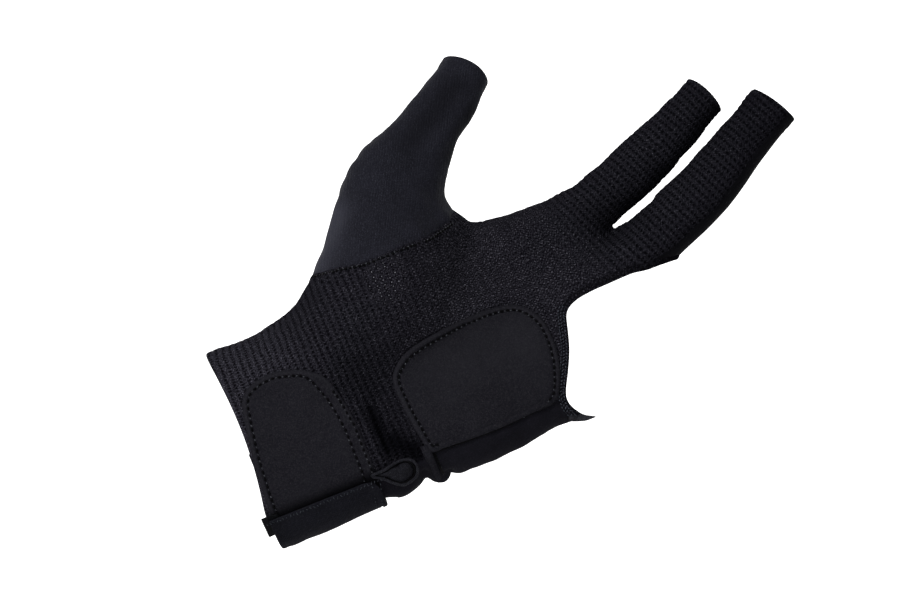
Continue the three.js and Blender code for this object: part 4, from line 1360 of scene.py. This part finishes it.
hem = edge_line(wrist_line, GAP + HEM_WIDTH / 2 - 0.3, 1.0)
centre, side, up = edge_line(outside_opening, 1.15, 0.7)
make_object(
    "opening_binding_core", *band_tube(centre, side, up, 1.4, 0.85, 0.05), MESH_KNIT, "mesh_knit",
    "opening_binding", layers={"knit": knit_place, "shade": binding_shade})
run = run_of(np.vstack([centre, centre[:1]]))
bare = (centre[:, 2] > 44) | (centre[:, 1] > 10)


def binding_at(s):
    """The binding's centre, sideways and upward ways and bareness at lengths along it."""
    i = np.searchsorted(run, s % run[-1], side="right") - 1
    t = (((s % run[-1]) - run[i]) / (run[i + 1] - run[i]))[:, None]
    i = i % len(centre)
    j = (i + 1) % len(centre)
    middle_of, out, lift = (a[i] * (1 - t) + a[j] * t for a in (centre, side, up))
    return middle_of, unit(out), unit(lift), bare[i]


THREAD_REACH = BINDING + 0.12
threads, pale = [], []
turn_count = int(run[-1] / THREAD_PITCH)
turns = np.linspace(0, turn_count, turn_count * 10, endpoint=False)
at, out, lift, is_bare = binding_at(turns * THREAD_PITCH)
line = at + out * (np.cos(2 * math.pi * turns) * THREAD_REACH)[:, None]
line = line + lift * (np.sin(2 * math.pi * turns) * THREAD_REACH)[:, None]
starts = np.concatenate([[0], np.flatnonzero(np.diff(is_bare)) + 1, [len(is_bare)]])
for a, b in zip(starts, starts[1:]):
    if b - a >= 6 and is_bare[a]:
        threads.append(tube(line[a:b], lift[a:b], THREAD_RADIUS, 5))
make_object("binding_threads_dark", *joined(threads), DARK_THREAD_AND_SHADE, "serged_edge")
# on the palm side the overlock shows as short pale stitches in three columns
covered_run = run[np.flatnonzero(~bare)]
for column, (off, lean, rise) in enumerate(((-1.35, 0.2, 0.78), (-0.55, 1.2, 0.86), (0.35, -0.6, 0.86))):
    at, out, lift, is_bare = binding_at(np.arange(covered_run[0], covered_run[-1], 1.05) + 0.35 * column)
    ahead = tangents(at)
    for k in np.flatnonzero(~is_bare):
        spot = at[k] + out[k] * off + lift[k] * rise + jitter(0.05)
        length = rng.uniform(0.45, 0.8)
        pale.append(stitch(spot, unit(ahead[k] + lean * out[k]), lift[k], length, rng.uniform(0.11, 0.18)))
make_object("binding_threads_pale", *joined(pale), PALE_THREAD, "serged_edge")
make_object(
    "wrist_hem_fold", *band_tube(*hem, HEM_WIDTH / 2 + 0.3, 0.72, 0.06), MESH_KNIT, "mesh_knit",
    "wrist_hem", layers={"knit": knit_place, "shade": knit_shade})

# the binding's pointed end, the rolled end of the palm pad's welt, and a dark tube in the crease beside it
# for its seam and painted shade
TOWARDS = (0.0, -1.0, 0.0)
tip = front_of([(105.2, 9.3), (107.2, 9.0)])
tip = even_line(np.vstack([tip, tip[-1] + (3.2, 0.2, -0.3), tip[-1] + (6.3, 0.4, 0.1)]), 0.5)
tip_size = 1.5 * (1 - np.linspace(0, 1, len(tip)) ** 1.8) + 0.12
tip_tube = tube(tip + (0, -0.35, 0), np.tile(TOWARDS, (len(tip), 1)), tip_size, 10, flat=0.5)
make_object("opening_corner_tip", *joined([tip_tube]), PALE_FABRIC, "bound_edge")
welt = even_line(front_of([(58.7, 0.4), (60.2, -2.8), (61.8, -6.2), (63.3, -10.0)]), 0.5)
welt_size = 1.25 + 0.15 * np.sin(np.linspace(0, 9, len(welt))) - 0.5 * np.linspace(0, 1, len(welt)) ** 3
welt_tube = tube(welt + normals(welt) * 0.55, normals(welt), welt_size, 12, flat=0.75)
make_object("palm_welt_end", *joined([welt_tube]), SUEDE, "suede_patch")
crease = even_line(front_of([(60.9, 0.2), (62.3, -3.0), (63.7, -6.2), (64.7, -8.6)]), 0.5)
crease_tube = tube(crease + normals(crease) * 0.1, normals(crease), 0.42)
make_object("palm_welt_seam", *joined([crease_tube]), DARK_THREAD_AND_SHADE, "suede_patch")

# the loop: its rim, a dark ring of painted shade in the groove inside it, and the cloth tucked into it
loop = front_of(even_line(close_round(LOOP_LINE, 10), 0.5, True))
loop[:, 1] -= STRAP_LOW + 0.75 + 0.12 * (loop[:, 0] - LOOP_LINE[0][0])
count = len(loop)
towards = np.tile(TOWARDS, (count, 1))
rim = tube(loop, towards, 0.46 + 0.04 * np.sin(np.arange(count) * 1.3), 10, True, 1.3)
heart = loop.mean(0)
gap_shade_ring = tube(heart + (loop - heart) * 0.86 + (0, 0.35, 0), towards, 0.5, 8, True)
make_object("pull_loop_rim", *joined([rim]), LOOP_EDGE, "bound_edge", "pull_loop")
make_object("pull_loop_gap", *joined([gap_shade_ring]), DARK_THREAD_AND_SHADE, "bound_edge")
RINGS = 9
tucked = []
for s in np.linspace(1, 0.08, RINGS):
    tucked.append(heart + (loop - heart) * s * 0.82 + (0, 1.0 - 2.3 * (1 - s ** 2) ** 0.6, 0))
i = np.arange(count)
j = (i + 1) % count
last, front, back = (RINGS - 1) * count, np.full(count, RINGS * count), np.full(count, RINGS * count + 1)
tuck_faces = np.vstack([
    ring_faces(RINGS, count, False), np.stack([last + i, last + j, front, front], 1),
    np.stack([j, i, back, back], 1),
])
tuck = np.vstack(tucked + [[tucked[-1].mean(0)], [heart + (0, 1.4, 0)]])
tuck[:, 1] += 0.16 * fine_waves(tuck) + 0.14 * cloth_waves(tuck)
make_object("pull_loop_tuck", *joined([(tuck, tuck_faces)]), BOUND, "bound_edge")


# floor, backdrop and light, in metres
LEFT, RIGHT = -4.6, 4.8
NEAR, FAR = -3.4, 2.4
GROUND, TOP = -0.3, 4.6
MIDDLE_OF_GLOVE = (0.08, 0.0, 0.045)


def stage_sheet(name, corners, finish):
    mesh = bpy.data.meshes.new(name)
    mesh.from_pydata(corners, [], [(0, 1, 2, 3)])
    mesh.materials.append(finish)
    add_object(name, mesh)


stage_sheet(
    "floor", [(LEFT, NEAR, GROUND), (RIGHT, NEAR, GROUND), (RIGHT, FAR, GROUND), (LEFT, FAR, GROUND)],
    material("floor_paper", floor_paint))
stage_sheet(
    "backdrop", [(LEFT, FAR, GROUND), (RIGHT, FAR, GROUND), (RIGHT, FAR, TOP), (LEFT, FAR, TOP)],
    material("backdrop_paper", lit_paper))


def area_light(name, place, size, power, colour):
    """A round light at a place, turned to the middle of the glove."""
    data = bpy.data.lights.new(name, "AREA")
    data.shape = "DISK"
    data.size = size
    data.energy = power
    data.color = colour
    light = add_object(name, data)
    light.location = place
    x, y, z = np.array(MIDDLE_OF_GLOVE) - place
    light.rotation_euler = (math.pi / 2 - math.atan2(-z, math.hypot(x, y)), 0, math.atan2(y, x) - math.pi / 2)


area_light("key", (-0.75, -1.15, 0.9), 0.5, 21, (1, 0.99, 0.985))
area_light("fill", (0.35, -1.7, 0.35), 0.9, 3, (0.95, 0.97, 1))
world = bpy.data.worlds.new("studio")
world.use_nodes = True
world.node_tree.nodes["Background"].inputs["Color"].default_value = (1, 1, 1, 1)
world.node_tree.nodes["Background"].inputs["Strength"].default_value = 0.33
bpy.context.scene.world = world
bpy.context.scene.view_settings.view_transform = "Standard"
